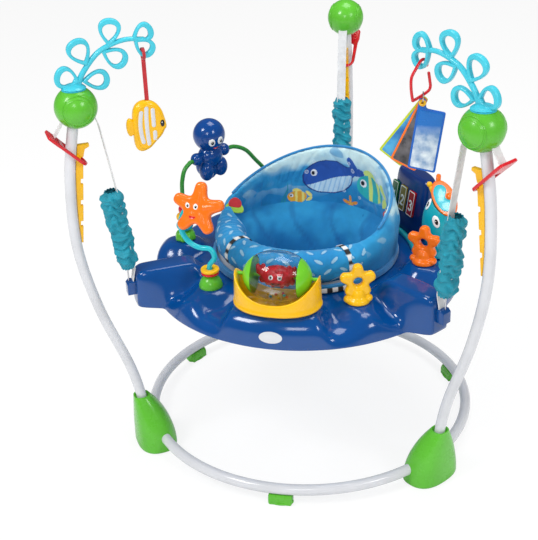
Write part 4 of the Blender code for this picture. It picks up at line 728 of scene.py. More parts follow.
def ribbon_mesh(name, line, width, thickness, across=(0, 1, 0)):
    """Webbing: a flat band with slightly thicker selvages along both edges."""
    across = Vector(across).normalized()
    half, edge = width / 2, SELVAGE
    section = [(-half, 0.35), (-half + edge * 0.3, 0.55), (-half + edge, 0.6), (-half + edge * 1.5, 0.5),
               (0.0, 0.5), (half - edge * 1.5, 0.5), (half - edge, 0.6), (half - edge * 0.3, 0.55),
               (half, 0.35)]
    loop = section + [(t, -h) for t, h in section[::-1]]
    rings = []
    for i, point in enumerate(line):
        before, after = line[max(i - 1, 0)], line[min(i + 1, len(line) - 1)]
        tangent = (Vector(after) - Vector(before)).normalized()
        normal = tangent.cross(across).normalized()
        rings.append([Vector(point) + across * t + normal * h * thickness for t, h in loop])
    return loft(name, rings)


def strap(side, corner):
    """The height strap in two runs, from the top of the bar in the head."""
    arch = [radial(p) for p in arc(range(0, 181, 12), STRAP_ARCH, centre=STRAP_ARCH_CENTRE)]
    outer = smooth_line([radial(STRAP_OUTER_END), radial(STRAP_OUTER_BEND), arch[0]], 9)[:-1]
    top = len(arch) // 2
    inner_end, sleeve_top, foot_end = (
        radial(p) for p in (STRAP_INNER_BEND, STRAP_SLEEVE_TOP, STRAP_SLEEVE_FOOT))
    inner = smooth_line([arch[-1], inner_end], 4)[1:]
    inner += [inner_end.lerp(sleeve_top, i / 14) for i in range(1, 15)]
    inner += [sleeve_top.lerp(foot_end, i / 14) for i in range(1, 15)]
    inner += [radial(STRAP_TRAY_END)]
    first = ribbon_mesh(f"strap_adjuster_run_{side}", outer + arch[:top + 1], STRAP_WIDTH, STRAP_THICKNESS)
    second = ribbon_mesh(f"strap_hanger_run_{side}", arch[top:] + inner, STRAP_WIDTH, STRAP_THICKNESS)
    for run, other, start, end in (
            (first, f"slider_{side}", radial((0.500, 0.790)), radial((0.5085, 0.748))),
            (second, "hangers", inner_end, radial((0.404, 0.640)))):
        coloured(run, WEBBING, corner, 50)
        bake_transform(run)
    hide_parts(f"height_strap_{side}")


RACK_TOP = 0.722
RACK_BOTTOM = 0.514
NOTCH_TOP = 0.690
NOTCH_PITCH = 0.045
NOTCH_DEPTH = 0.005
NOTCH_HEIGHT = 0.012
RACK_TIP_AT_TOP = 0.4590
SLIDE_LEAN = 0.107
SLIDER_TILT = 45.8
SLIDER_CENTRE = (0.4907, 0.7185)


def post_x(height):
    """The post's distance from the middle at a height."""
    line = upright_line(POST_LINE, 80)
    return next((a.x + (b.x - a.x) * (height - a.z) / (b.z - a.z)
                 for a, b in zip(line, line[1:]) if a.z <= height <= b.z), line[-1].x)


def rack(side, corner):
    """The yellow toothed strip on the post's inner side."""
    def tip(z):
        return RACK_TIP_AT_TOP + SLIDE_LEAN * (NOTCH_TOP - z)

    inner = [(tip(RACK_TOP) - 0.011, RACK_TOP), (tip(RACK_TOP) - 0.011, RACK_TOP - 0.006),
             (tip(RACK_TOP) - 0.002, RACK_TOP - 0.010)]
    for i in range(4):
        z = NOTCH_TOP - i * NOTCH_PITCH
        top, low = z + NOTCH_HEIGHT / 2, z - NOTCH_HEIGHT / 2
        inner += [(tip(top), top), (tip(top) + NOTCH_DEPTH, top), (tip(low) + NOTCH_DEPTH, low),
                  (tip(low), low)]
    inner.append((tip(RACK_BOTTOM), RACK_BOTTOM))
    outer = [(post_x(z) - POST_TUBE - GAP, z) for z in evenly(RACK_BOTTOM, RACK_TOP, 12)]
    strip = slab(f"toothed_strip_{side}", inner + outer, 0.010, 0.0008, UPRIGHT, 2)
    dress(strip, YELLOW, "frame", corner, f"height_rack_{side}")


def slider(side, corner):
    """The red adjuster: a bar that hooks the rack, a ring round the post and a finger paddle."""
    u_in, u_out, neck, paddle = -0.0545, 0.046, 0.0205, 0.025
    upper = [(u_out, paddle - 0.006), *arc((15, 45, 75, 90), 0.006, centre=(u_out - 0.006, paddle - 0.006))]
    upper += [(u_out - 0.024, paddle), (u_out - 0.036, 0.0222)]
    upper += [(u_in + neck - neck * sin(radians(a)), neck * cos(radians(a))) for a in range(0, 91, 10)]
    outline = upper + [(x, -y) for x, y in upper[::-1]][1:]
    half, hole_in, hole_out = 0.0135, u_in + 0.0065, 0.008
    hole = [(hole_in, -half * 0.6), (hole_in, half * 0.6), (hole_in + 0.003, half * 0.85),
            (hole_in + 0.008, half), (hole_out - 0.006, half), (hole_out - 0.0015, half * 0.85),
            (hole_out, half * 0.55), (hole_out, -half * 0.55), (hole_out - 0.0015, -half * 0.85),
            (hole_out - 0.006, -half), (hole_in + 0.008, -half), (hole_in + 0.003, -half * 0.85)]
    plate = slab(f"adjuster_{side}", outline, 0.006, 0.0014, segments=3, holes=[hole])
    ribs = []
    for x in (0.020, 0.026, 0.032, 0.038):
        ribs.append(sweep("rib", [(x, -0.016 + 0.004 * i, 0.0030) for i in range(9)], 0.0012, 10))
    pieces = joined(f"adjuster_{side}", [plate, *ribs])
    pieces.data.transform(move(radial(SLIDER_CENTRE)) @ spin(-SLIDER_TILT, "Y"))
    dress(pieces, RED, f"slider_{side}", corner, f"height_slider_{side}")


# ---- Spring sleeves ----

SLEEVE_TOP = (0.4112, 0.615)
SLEEVE_FOOT = (0.3912, 0.4385)
SLEEVE_SEEDS = {"left": 3.1, "right": 7.7, "back": 12.9}
SPRING_FOOT, SPRING_TOP, SPRING_LUG = (0.3948, 0.445), (0.4122, 0.600), (0.3932, 0.4083)
SPRING_HOOK, SPRING_RADIUS, SPRING_WIRE = 0.014, 0.0105, 0.0016


def sleeve(side, corner):
    """Gathered cloth over the spring: slanting puckers round a tube, with ruffled ends."""
    foot_at, top = radial(SLEEVE_FOOT), radial(SLEEVE_TOP)
    axis = (top - foot_at).normalized()
    side_x, side_y = Vector((axis.z, 0, -axis.x)), Vector((0, 1, 0))
    around, along = 72, 190
    seed = SLEEVE_SEEDS[side]
    rings = []
    for j in range(along + 1):
        u = j / along
        hold = step(0.0, 0.10, u) * (1 - step(0.93, 1.0, u))
        centre = foot_at.lerp(top, u)
        sway_x = noise.noise(Vector((seed, 4.2 * u, 0.0))) * 0.0062 * hold
        sway_y = noise.noise(Vector((seed, 4.2 * u, 9.0))) * 0.0062 * hold
        wide = 0.0128 + 0.0074 * hold + 0.0040 * hold * noise.noise(Vector((seed, 5.5 * u, 3.0)))
        ring = []
        for a in turns(around):
            swirl = noise.noise(Vector((seed + 0.9 * cos(a), 0.9 * sin(a), 3.0 * u)))
            slant = 2 * pi * 7.5 * u + 1.3 * cos(a - seed) + 6.5 * swirl
            fold = abs(sin(slant * 0.5)) * 2 - 1.2
            fine = sin(2 * pi * 17 * u + 2.4 * cos(a + seed) + 7.0 * swirl)
            bulge = noise.noise(Vector((cos(a) * 1.3 + seed, sin(a) * 1.3, 6.0 * u)))
            ruffle = 0.0018 * sin(12 * a + seed) * (1 - hold)
            r = wide + ruffle + hold * (0.0030 * fold + 0.0009 * fine + 0.0050 * bulge)
            r = max(r, 0.0105 + 0.0040 * hold)
            ring.append(centre + side_x * (r * cos(a) + sway_x) + side_y * (r * sin(a) + sway_y))
        rings.append(ring)
    made = loft(f"gathered_sleeve_{side}", rings, caps=False)
    coloured(made, TEAL_CLOTH, corner)
    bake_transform(made)
    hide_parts(f"spring_sleeve_{side}")


def spring(side, corner):
    """The coil inside the sleeve, with straight ends down to the lug and up to the strap."""
    foot_at, top, lug = radial(SPRING_FOOT), radial(SPRING_TOP), radial(SPRING_LUG)
    axis = (top - foot_at).normalized()
    side_x, side_y = Vector((axis.z, 0, -axis.x)), Vector((0, 1, 0))
    hook, curls, per_turn = SPRING_HOOK, 5, 24
    pitch = ((top - foot_at).length - 2 * hook) / curls
    points = [lug, lug + Vector((0, 0, 0.012)), foot_at, foot_at + axis * hook * 0.6]
    for i in range(curls * per_turn + 1):
        a = 2 * pi * i / per_turn
        points.append(foot_at + axis * (hook + pitch * i / per_turn)
                      + SPRING_RADIUS * (side_x * cos(a) + side_y * sin(a)))
    points += [top - axis * hook * 0.6, top - axis * 0.002]
    coil = sweep(f"spring_coil_{side}", points, SPRING_WIRE, 10)
    coloured(coil, STEEL, corner)
    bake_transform(coil)
    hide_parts(f"spring_{side}")


# ---- Tray ----

TRAY_HOLE = 0.178
TRAY_RING_SEAT = 0.200
TRAY_TOP = 0.402
TRAY_FRONT_DROP = 0.024
TRAY_LOBE = 0.333
TRAY_ARM_REACH = 0.382
TRAY_ARM_HALF = 0.031
TRAY_ARM_BLEND = 0.020
TRAY_ARM_TOP = 0.434
TRAY_RUN, TRAY_ARM_RUN = 0.042, 0.022
TRAY_RIM = 0.347
TRAY_ARM_RIM = 0.352
TRAY_WALL = 0.0045
LUG_AT, LUG_WIDTH = (0.389, 0, 0.393), 0.024
PLATFORM_TOP = 0.414
GLOBE_AT = (0.0045, -0.2580, 0.4725)
SPIRAL_AT = (-0.153, -0.203)
SPIRAL_MOUND_TOP = 0.407
ARCH_FOOT = (-0.267, -0.022)
ARCH_FAR_FOOT = (-0.114, 0.245)
ARCH_MOUND_TOP = 0.420
LINK_STARS = {
    "link_star_front": (0.155, -0.206, 0.404, 21.0),
    "link_star_side": (0.266, -0.056, 0.427, -16.0),
}
MOUNDS = [(SPIRAL_AT, SPIRAL_MOUND_TOP), (ARCH_FOOT, ARCH_MOUND_TOP), (ARCH_FAR_FOOT, ARCH_MOUND_TOP)]
MOUNDS += [((x, y), z) for x, y, z, _ in LINK_STARS.values()]


def arm_share(angle, distance):
    """1 on a tray arm, 0 between the arms."""
    offset = min(abs((angle - post + 180) % 360 - 180) for post in POST_ANGLES.values())
    if offset > 60:
        return 0.0
    across = distance * sin(radians(offset))
    return 1 - step(TRAY_ARM_HALF - TRAY_ARM_BLEND / 2, TRAY_ARM_HALF + TRAY_ARM_BLEND, across)


def cradle_share(x, y):
    """1 on the cradle's plan outline, less inside."""
    depth = CRADLE_BACK_DEPTH if y > GLOBE_AT[1] else CRADLE_FRONT_DEPTH
    x, y = abs(x - GLOBE_AT[0]) / CRADLE_HALF_LENGTH, abs(y - GLOBE_AT[1]) / depth
    return (x ** CRADLE_POWER + y ** CRADLE_POWER) ** (1 / CRADLE_POWER)


def tray_height(angle, distance):
    x, y = distance * cos(radians(angle)), distance * sin(radians(angle))
    front = (1 - sin(radians(angle))) / 2
    run = (distance - TRAY_RING_SEAT) / (TRAY_LOBE - TRAY_RUN - TRAY_RING_SEAT)
    z = TRAY_TOP - TRAY_FRONT_DROP * front * max(0.0, run)
    z += (TRAY_ARM_TOP - z) * arm_share(angle, distance) * step(0.215, 0.26, distance)
    for at, top in MOUNDS:
        away = hypot(x - at[0], y - at[1])
        if top > z:
            z += (top - z) * (1 - step(0.027, 0.058, away))
    if PLATFORM_TOP > z:
        z += (PLATFORM_TOP - z) * (1 - step(1.01, 1.09, cradle_share(x, y)))
    return z


def tray_section(angle):
    share = arm_share(angle, TRAY_ARM_REACH)
    rim_radius = TRAY_LOBE + (TRAY_ARM_REACH - TRAY_LOBE) * share
    rim = TRAY_RIM + (TRAY_ARM_RIM - TRAY_RIM) * share
    run = TRAY_RUN + (TRAY_ARM_RUN - TRAY_RUN) * share
    shoulder = rim_radius - run
    line = [(TRAY_HOLE, TRAY_TOP - 0.004), (TRAY_HOLE + 0.0015, TRAY_TOP - 0.001),
            (TRAY_HOLE + 0.004, TRAY_TOP)]
    line += [(r, tray_height(angle, r)) for r in evenly(TRAY_RING_SEAT, shoulder, 24)]
    top = line[-1][1]
    drop = top - rim
    fall = min(run, drop - 0.006)
    for a in range(80, -1, -8):
        line.append((shoulder + run * cos(radians(a)), top - fall * (1 - sin(radians(a)))))
    line += [(rim_radius, rim + 0.005), (rim_radius + 0.0018, rim + 0.003),
             (rim_radius + 0.0018, rim + 0.001),
             (rim_radius, rim), (rim_radius - TRAY_WALL, rim), (rim_radius - TRAY_WALL, rim + 0.004)]
    inner = rim_radius - TRAY_WALL
    line += arc((20, 45, 70, 90), run, drop - TRAY_WALL, (inner - run, rim))
    for i in range(8, -1, -2):
        r = TRAY_RING_SEAT + (inner - run - TRAY_RING_SEAT) * i / 10
        line.append((r, min(tray_height(angle, r), TRAY_TOP) - TRAY_WALL))
    line.append((TRAY_HOLE, TRAY_TOP - 0.001 - TRAY_WALL))
    return line


def tray():
    angles = []
    posts = sorted(POST_ANGLES.values())
    for i, post in enumerate(posts):
        following = posts[(i + 1) % 3] + (360 if i == 2 else 0)
        angles += [post + 0.4 * k for k in range(-26, 27)]
        start, end = post + 10.4, following - 10.4
        angles += evenly(start, end, round((end - start) / 1.25))[1:-1]
    rings = [[polar(a, r, z) for r, z in tray_section(a)] for a in angles]
    shell = loft("toy_tray", rings, closed=True)
    dress(softened(shell, 12), TRAY_BLUE, "tray_body", replaces="tray", sharp=60)
    for side, corner in CORNERS.items():
        outline = [(-0.010, -0.015), (0.010, -0.015), (0.010, 0.009), (0.004, 0.015), (-0.010, 0.015)]
        lug = slab(f"strap_lug_{side}", outline, LUG_WIDTH, 0.002, move(LUG_AT) @ UPRIGHT)
        dress(lug, TRAY_BLUE, "tray_body", corner)


# ---- Seat ----

SEAT_BACK_ANGLE = 70.0
SEAT_FRONT_ANGLE = SEAT_BACK_ANGLE + 180
SEAT_BACK_TOP = 0.580
SEAT_FRONT_TOP = 0.482
SEAT_BACK_RIM = 0.186
SEAT_SIDE = 0.1995
SEAT_RING_INNER = 0.169
SEAT_WALL = 0.007
FLANGE_TOP = 0.4098
BOLSTER_RADIUS = 0.033
BOLSTER_SPREAD = 84.0


def seat_rim(angle):
    share = ((1 + cos(radians(angle - SEAT_BACK_ANGLE))) / 2) ** 1.75
    return SEAT_FRONT_TOP - 0.01 + (SEAT_BACK_TOP - SEAT_FRONT_TOP + 0.01) * share


def bolster_share(angle):
    """1 where the rim is the low round bolster, 0 where it is the tall back."""
    away = abs((angle - SEAT_BACK_ANGLE) % 360 - 180)
    return 1 - step(BOLSTER_SPREAD - 22, BOLSTER_SPREAD, away)


def seat_section(angle):
    """Points of the upper cover's section: up the outside, over the rim and down the inside."""
    rest, rim, share, b = FLANGE_TOP + GAP, seat_rim(angle), bolster_share(angle), BOLSTER_RADIUS
    middle, centre = SEAT_SIDE - 0.004 - b, rest + b + 0.0035

    def wall(u):
        return rest + 0.022 + (rim - rest - 0.022) * u

    tall = [(SEAT_RING_INNER + 0.010, rest + 0.001), (SEAT_SIDE - 0.003, rest + 0.006),
            (SEAT_SIDE, wall(0.0)),
            (SEAT_SIDE + 0.004, wall(0.45)), (SEAT_SIDE - 0.004, wall(0.85)),
            (SEAT_BACK_RIM + 0.004, rim - 0.003), (SEAT_BACK_RIM - 0.001, rim),
            (SEAT_BACK_RIM - 0.006, rim - 0.004),
            (SEAT_SIDE - 0.017, wall(0.80)), (SEAT_SIDE - 0.0105, wall(0.45)),
            (SEAT_SIDE - 0.0125, wall(0.03)),
            (SEAT_RING_INNER - 0.004, rest + 0.008)]
    full = arc((-84, -60, -32, 0, 38, 68, 92, 125, 160, 190, 222, 250), b, centre=(middle, centre))
    return [mix(t, f, share) for t, f in zip(tall, full)]


def seat_top():
    """The padded upper cover as one closed form, blown up a little as cloth and then printed."""
    around, across = 150, 64
    rings = []
    for i in range(around):
        angle = 360 * i / around
        rings.append([polar(angle, p.x, p.y) for p in smooth_loop(seat_section(angle), across)])
    cover = loft("seat_cover_top", rings, closed=True)
    cover = inflated(cover, 0.005, 0.0075)
    wrinkle(cover)
    cover = subdivided(cover, 1 if len(cover.data.vertices) > 30000 else 2)
    paint(cover, seat_print)
    dress(cover, SEAT_CLOTH, "seat", replaces="seat_cover", sharp=80)


def inflated(obj, voxel, cap):
    """Cloth pressure on a remeshed copy, with each point held within cap of where it began."""
    add_skin(obj, voxel)
    obj = settled(obj)
    before = np.array([v.co for v in obj.data.vertices])
    cloth = obj.modifiers.new("puff", "CLOTH")
    cloth.settings.use_pressure = True
    cloth.settings.uniform_pressure_force = 3.0
    cloth.settings.tension_stiffness = 12
    cloth.settings.bending_stiffness = 0.4
    cloth.settings.effector_weights.gravity = 0.0
    cloth.settings.quality = 4
    pins = obj.vertex_groups.new(name="seat_edge")
    low = [v.index for v in obj.data.vertices if v.co.z < FLANGE_TOP + 0.006]
    pins.add(low, 1.0, "REPLACE")
    cloth.settings.vertex_group_mass = "seat_edge"
    scene = bpy.context.scene
    for number in range(1, 13):
        scene.frame_set(number)
    made = settled(obj)
    scene.frame_set(1)
    after = np.array([v.co for v in made.data.vertices])
    shift = after - before
    size = np.linalg.norm(shift, axis=1, keepdims=True)
    shift *= np.minimum(1.0, cap / np.maximum(size, 1e-9))
    made.data.vertices.foreach_set("co", (before + shift).astype(np.float32).ravel())
    return made


def subdivided(obj, levels):
    smoother = obj.modifiers.new("smooth", "SUBSURF")
    smoother.levels = smoother.render_levels = levels
    return settled(obj)


SEAMS = (-64.0, 0.0, 64.0)


def wrinkle(obj):
    """Soft creases in the cloth: seams pull in, and short folds run out from them."""
    for vertex in obj.data.vertices:
        p = vertex.co
        angle = degrees(atan2(p.y, p.x)) - SEAT_BACK_ANGLE
        angle = (angle + 180) % 360 - 180
        inside = hypot(p.x, p.y) < SEAT_SIDE - 0.006
        out = Vector((p.x, p.y, 0)).normalized()
        dip = 0.0
        for seam in SEAMS:
            away = abs(angle - seam) / 3.6
            dip += 0.0038 * max(0.0, 1 - away) ** 2
        low = 1 - step(0.43, 0.50, p.z)
        folds = 0.0016 * sin(angle * 0.55 + 9 * noise.noise(Vector((angle * 0.02, p.z * 12, 0)))) * low
        rumple = 0.0026 * noise.noise(p * 26) + 0.0012 * noise.noise(Vector((angle * 0.16, p.z * 22, 5.0)))
        share = bolster_share(angle + SEAT_BACK_ANGLE)
        tuck = 0.0016 * share * sin(angle * 1.4 + 6 * noise.noise(p * 9)) * (1 if p.z > 0.43 else 0)
        shift = dip + rumple + folds if inside else rumple - dip
        vertex.co = p + out * shift + Vector((0, 0, tuck * 0.6))


def oval(place, centre, radii, turn=0.0):
    """Below 1 inside an ellipse."""
    x, y = place[0] - centre[0], place[1] - centre[1]
    c, s = cos(radians(turn)), sin(radians(turn))
    return hypot((x * c + y * s) / radii[0], (-x * s + y * c) / radii[1])


LIGHT_SEA = (0.030, 0.42, 0.76)
MID_SEA = (0.004, 0.23, 0.54)
DEEP_SEA = (0.002, 0.085, 0.32)
FOAM = (0.64, 0.86, 0.88)
PRINTED_EYE, PRINTED_PUPIL = (0.95, 0.97, 1.0), (0.01, 0.01, 0.02)


def seat_print(place):
    """Colour of the cloth: a plain sea with waves, bubbles, kelp and simple fish."""
    angle = (degrees(atan2(place.y, place.x)) - SEAT_BACK_ANGLE + 180) % 360 - 180
    s, h = radians(angle) * 0.190, place.z - 0.41
    share = bolster_share(angle + SEAT_BACK_ANGLE)
    cloud = noise.noise(Vector((s * 14, h * 26, 1.0))) + 0.5 * noise.noise(Vector((s * 34, h * 60, 4.0)))
    if share < 0.5:
        tall = step(0.02, 0.15, h + 0.025 * cloud)
        colour = mix(MID_SEA, LIGHT_SEA, tall)
        colour = mix(colour, FOAM, step(0.075, 0.165, h + 0.055 * cloud))
        colour = mix(colour, FOAM, 0.35 * step(0.20, 0.26, cloud) * step(0.03, 0.10, h))
        colour = mix(colour, MID_SEA, 0.5 * (1 - step(-0.42, -0.34, cloud)))
        return sea_life(colour, s, h)
    return leaf_marks(mix(MID_SEA, LIGHT_SEA, 0.30 * step(-0.3, 0.5, cloud)), s, place)


def leaf_marks(base, s, place):
    """Pale leaf shapes in slanting rows round the bolster."""
    turn = atan2(place.z - 0.4465, hypot(place.x, place.y) - 0.1665) * BOLSTER_RADIUS
    pitch = 0.034
    row = round(turn / 0.026)
    column = round((s + 0.5 * pitch * (row % 2)) / pitch)
    centre = (column * pitch - 0.5 * pitch * (row % 2), row * 0.026)
    lean = 40 if (row + column) % 2 else -35
    body = oval((s, turn), centre, (0.0100, 0.0036), lean)
    if body < 1:
        return mix(base, FOAM, 0.42)
    if body < 1.25:
        return mix(base, DEEP_SEA, 0.3)
    return base


def sea_life(colour, s, h):
    """Generic fish, a whale, kelp and bubbles on the back panel."""
    for x, lean, tall in ((-0.168, 0.10, 0.080), (-0.155, -0.06, 0.060), (0.150, 0.08, 0.072),
                          (0.163, -0.1, 0.088)):
        middle = x + 0.006 * sin(70 * h) + lean * h
        if abs(s - middle) < 0.0042 * (1 - h / tall) and 0 < h < tall:
            colour = (0.01, 0.30, 0.42)
    colour = whale(colour, (s - 0.052) / 1.65, (h - 0.094) / 1.65)
    colour = fish_mark(colour, s + 0.070, h - 0.088, 1.75, (0.02, 0.50, 0.50), (0.70, 0.86, 0.22))
    colour = fish_mark(colour, s - 0.128, h - 0.042, 0.85, (0.90, 0.42, 0.03), (0.95, 0.80, 0.20))
    colour = fish_mark(colour, s + 0.140, h - 0.045, 0.80, (0.82, 0.10, 0.06), (0.95, 0.70, 0.20))
    colour = starfish(colour, s + 0.002, h - 0.034, 0.021)
    bubbles = ((-0.105, 0.120, 0.006), (-0.094, 0.135, 0.0042), (-0.012, 0.118, 0.0055),
               (-0.002, 0.134, 0.004),
               (0.104, 0.105, 0.005), (0.012, 0.066, 0.0045), (-0.030, 0.056, 0.0038), (0.086, 0.132, 0.0042))
    for x, y, r in bubbles:
        ring = oval((s, h), (x, y), (r, r))
        if ring < 1:
            colour = mix(colour, (0.88, 0.96, 1.0), 0.75 if ring > 0.72 else 0.25)
    return colour


def any_oval(place, *ovals):
    """Below 1 inside any of the ellipses, each given as centre, radii and turn."""
    return min(oval(place, *one) for one in ovals)


def whale(colour, x, y):
    body = oval((x, y), (0.0, 0.0), (0.036, 0.024), -8)
    tail = any_oval((x, y), ((-0.040, 0.022), (0.014, 0.006), 50), ((-0.048, 0.014), (0.014, 0.006), -12))
    stalk = oval((x, y), (-0.030, 0.008), (0.016, 0.008), -35)
    if min(body, tail, stalk) < 1:
        colour = (0.015, 0.10, 0.46)
        if body < 1 and y < -0.004 - 0.010 * sin(40 * x):
            colour = (0.58, 0.80, 0.94) if sin(900 * (x + 0.3 * y)) < 0.6 else (0.35, 0.62, 0.86)
        if oval((x, y), (0.021, 0.005), (0.0046, 0.0052)) < 1:
            colour = PRINTED_EYE
        if oval((x, y), (0.0222, 0.0046), (0.0024, 0.0030)) < 1:
            colour = PRINTED_PUPIL
    elif min(body, stalk) < 1.07:
        colour = (0.01, 0.05, 0.25)
    return colour


def fish_mark(colour, x, y, size, body_colour, fin_colour):
    x, y = x / size, y / size
    body = oval((x, y), (0.0, 0.0), (0.027, 0.0175))
    fin = any_oval((x, y), ((-0.033, 0.008), (0.011, 0.005), 40), ((-0.033, -0.008), (0.011, 0.005), -40),
                   ((0.0, 0.018), (0.013, 0.007), 12))
    if fin < 1:
        colour = fin_colour
    if body < 1:
        colour = body_colour
        if sin(330 * x + 0.8) > 0.45 and x < 0.010:
            colour = fin_colour
        if oval((x, y), (0.0155, 0.004), (0.0052, 0.0055)) < 1:
            colour = PRINTED_EYE
        if oval((x, y), (0.0168, 0.004), (0.0026, 0.0032)) < 1:
            colour = PRINTED_PUPIL
    return colour


def starfish(colour, x, y, reach):
    angle, r = atan2(y, x), hypot(x, y)
    edge = reach * (0.62 + 0.38 * cos(5 * (angle - pi / 2)))
    if r < edge:
        return (0.92, 0.32, 0.04) if r > 0.35 * edge else (0.97, 0.55, 0.10)
    return colour


def paint(obj, colour_at):
    """Stores the print's colour on each point of the mesh."""
    mesh = obj.data
    stored = mesh.color_attributes.new("print", "FLOAT_COLOR", "POINT")
    values = []
    for vertex in mesh.vertices:
        values += [*colour_at(vertex.co), 1.0]
    stored.data.foreach_set("color", values)


POUCH_FLOOR = FLANGE_TOP - 0.175
POUCH_WALL = [(r, POUCH_FLOOR + z)
              for r, z in ((0.050, 0.002), (0.100, 0.014), (0.134, 0.050), (0.149, 0.105), (0.156, 0.148))]
LEG_HOLE_AT, LEG_HOLE_RADIUS, LEG_HOLE_SPREAD, LEG_HOLE_TILT = (0.135, 0.290), 0.050, 36.0, 118


def seat_pouch():
    """The hanging pouch below the rim, with two bound leg holes."""
    floor, rest, neck = POUCH_FLOOR, FLANGE_TOP + GAP, SEAT_RING_INNER - 0.0008
    outside = [(0.002, floor), *POUCH_WALL, (neck - 0.002, rest - 0.006), (neck - 0.002, rest + 0.004),
               (0.1800, rest + 0.018), (0.1868, rest + 0.030)]
    inside = [(0.1855, rest + 0.031), (0.1770, rest + 0.020), (0.161, rest + 0.006), (0.149, floor + 0.151),
              (0.142, floor + 0.108), (0.127, floor + 0.053),
              (0.098, floor + 0.021), (0.050, floor + 0.009), (0.002, floor + SEAT_WALL)]
    line = smooth_line(outside, 40) + smooth_line(inside, 34)
    rings = []
    for p in line:
        ring = []
        for a in turns(170):
            pleat = 0.0020 * sin(15 * a + 5 * noise.noise(Vector((2 * cos(a), 2 * sin(a), 9 * p.y))))
            sag = 0.0022 * sin(7 * a + 20 * p.y) + pleat
            sag = sag * step(0.02, 0.10, p.x) * (1 - step(0.37, 0.41, p.y))
            ring.append(((p.x + sag) * cos(a), (p.x + sag) * sin(a), p.y))
        rings.append(ring)
    pouch = loft("seat_pouch", rings)
    bindings = []
    for sign in (-1, 1):
        angle = SEAT_FRONT_ANGLE + sign * LEG_HOLE_SPREAD
        slope = spin(angle, "Z") @ spin(LEG_HOLE_TILT, "Y")
        place = move(polar(angle, *LEG_HOLE_AT)) @ slope
        pouch = cut(pouch, plug(LEG_HOLE_RADIUS, -0.045, 0.045, 64, place))
        bindings.append(leg_binding(sign, place))
    paint(pouch, pouch_print)
    dress(pouch, SEAT_CLOTH, "seat", sharp=70)
    for binding in bindings:
        dress(binding, PIPING_CLOTH, "seat")


def pouch_print(place):
    """Soft light and dark water, with drifting weed."""
    cloud = noise.noise(place * 16) + 0.5 * noise.noise(place * 42)
    colour = mix(mix(DEEP_SEA, MID_SEA, 0.85), LIGHT_SEA, 0.55 * step(-0.35, 0.45, cloud))
    weed = sin(degrees(atan2(place.y, place.x)) * 0.20 + 2.2 * sin(26 * place.z))
    return mix(colour, DEEP_SEA, 0.35 * step(0.90, 0.97, weed))


def leg_binding(sign, place):
    """Piping round a leg hole, laid on the pouch's outer face."""
    points = []
    for a in turns(48):
        ring = place @ Vector((LEG_HOLE_RADIUS * cos(a), LEG_HOLE_RADIUS * sin(a), 0))
        best, direction = None, (place.to_3x3() @ Vector((0, 0, 1))).normalized()
        for k in range(-45, 46):
            p = ring + direction * k * 0.001
            error = abs(hypot(p.x, p.y) - pouch_radius(p.z) + 0.003)
            if best is None or error < best[0]:
                best = (error, p)
        points.append(best[1])
    return sweep(f"leg_piping_{'left' if sign < 0 else 'right'}", points, 0.0038, 12, cyclic=True)


def pouch_radius(z):
    line = [(0.0, POUCH_FLOOR), *POUCH_WALL, (0.168, FLANGE_TOP)]
    for (r0, z0), (r1, z1) in zip(line, line[1:]):
        if z0 <= z <= z1:
            return r0 + (r1 - r0) * (z - z0) / (z1 - z0)
    return line[-1][0] if z > FLANGE_TOP else 0.0


def seat_trim():
    """The white turning ring under the cover, and piping along the cover's top edge."""
    top, under, collar = FLANGE_TOP, TRAY_TOP + 0.0008, TRAY_HOLE - 0.0015
    profile = rounded([(SEAT_RING_INNER, top), (TRAY_RING_SEAT, top), (TRAY_RING_SEAT, under),
                       (collar, under),
                       (collar, under - 0.018), (SEAT_RING_INNER, under - 0.018)], 0.0018)
    dress(turned("turning_ring", profile, 120), WHITE, "seat", replaces="seat_ring")
    points = []
    for angle in evenly(SEAT_BACK_ANGLE - 92, SEAT_BACK_ANGLE + 92, 96):
        section = seat_section(angle)
        points.append(polar(angle, section[6][0] + 0.0012, section[6][1] + 0.0012))
    dress(sweep("seat_piping", points, 0.0030, 12), SEAT_EDGE_CLOTH, "seat")
    hem = [(TRAY_RING_SEAT + out, z) for out, z in (
        (0.0003, under + 0.0008), (0.0022, under + 0.0010), (0.0032, under + 0.006), (0.0014, top + 0.0075),
        (-0.0060, top + 0.0085), (-0.0040, top + 0.0004), (0.0003, top + 0.0004))]
    dress(turned("seat_hem", hem, 160), SEAT_EDGE_CLOTH, "seat", sharp=60)


# ---- Leaf bars and hanging toys ----

LEAF_THICKNESS, SADDLE_WALL = 0.012, 0.0042
LEAF_STEM_LINE = (
    (0.452, 0.040), (0.441, 0.064), (0.412, 0.097), (0.384, 0.112), (0.352, 0.119), (0.318, 0.116),
)
LEAVES = (
    ((0.447, 0.047), (0.4935, 0.068), 0.0215),
    ((0.431, 0.078), (0.4520, 0.130), 0.0225),
    ((0.386, 0.110), (0.3780, 0.163), 0.0215),
    ((0.340, 0.1185), (0.2990, 0.136), 0.0185),
    ((0.337, 0.118), (0.3010, 0.086), 0.0180),
    ((0.401, 0.103), (0.3540, 0.074), 0.0200),
    ((0.444, 0.049), (0.3900, 0.047), 0.0200),
)
LEAF_BAND, LEAF_ROOT, LEAF_END = 0.0072, 0.010, 0.011
FISH_HANG = (0.3215, 0.0, 0.8855)
FISH_LOOP, FISH_STRAP_DROP, FISH_STRAP = 0.0108, 0.099, (0.0082, 0.0024)
FISH_HALF_WIDTH, FISH_HALF_HEIGHT, FISH_THICKNESS = 0.0325, 0.0515, 0.022
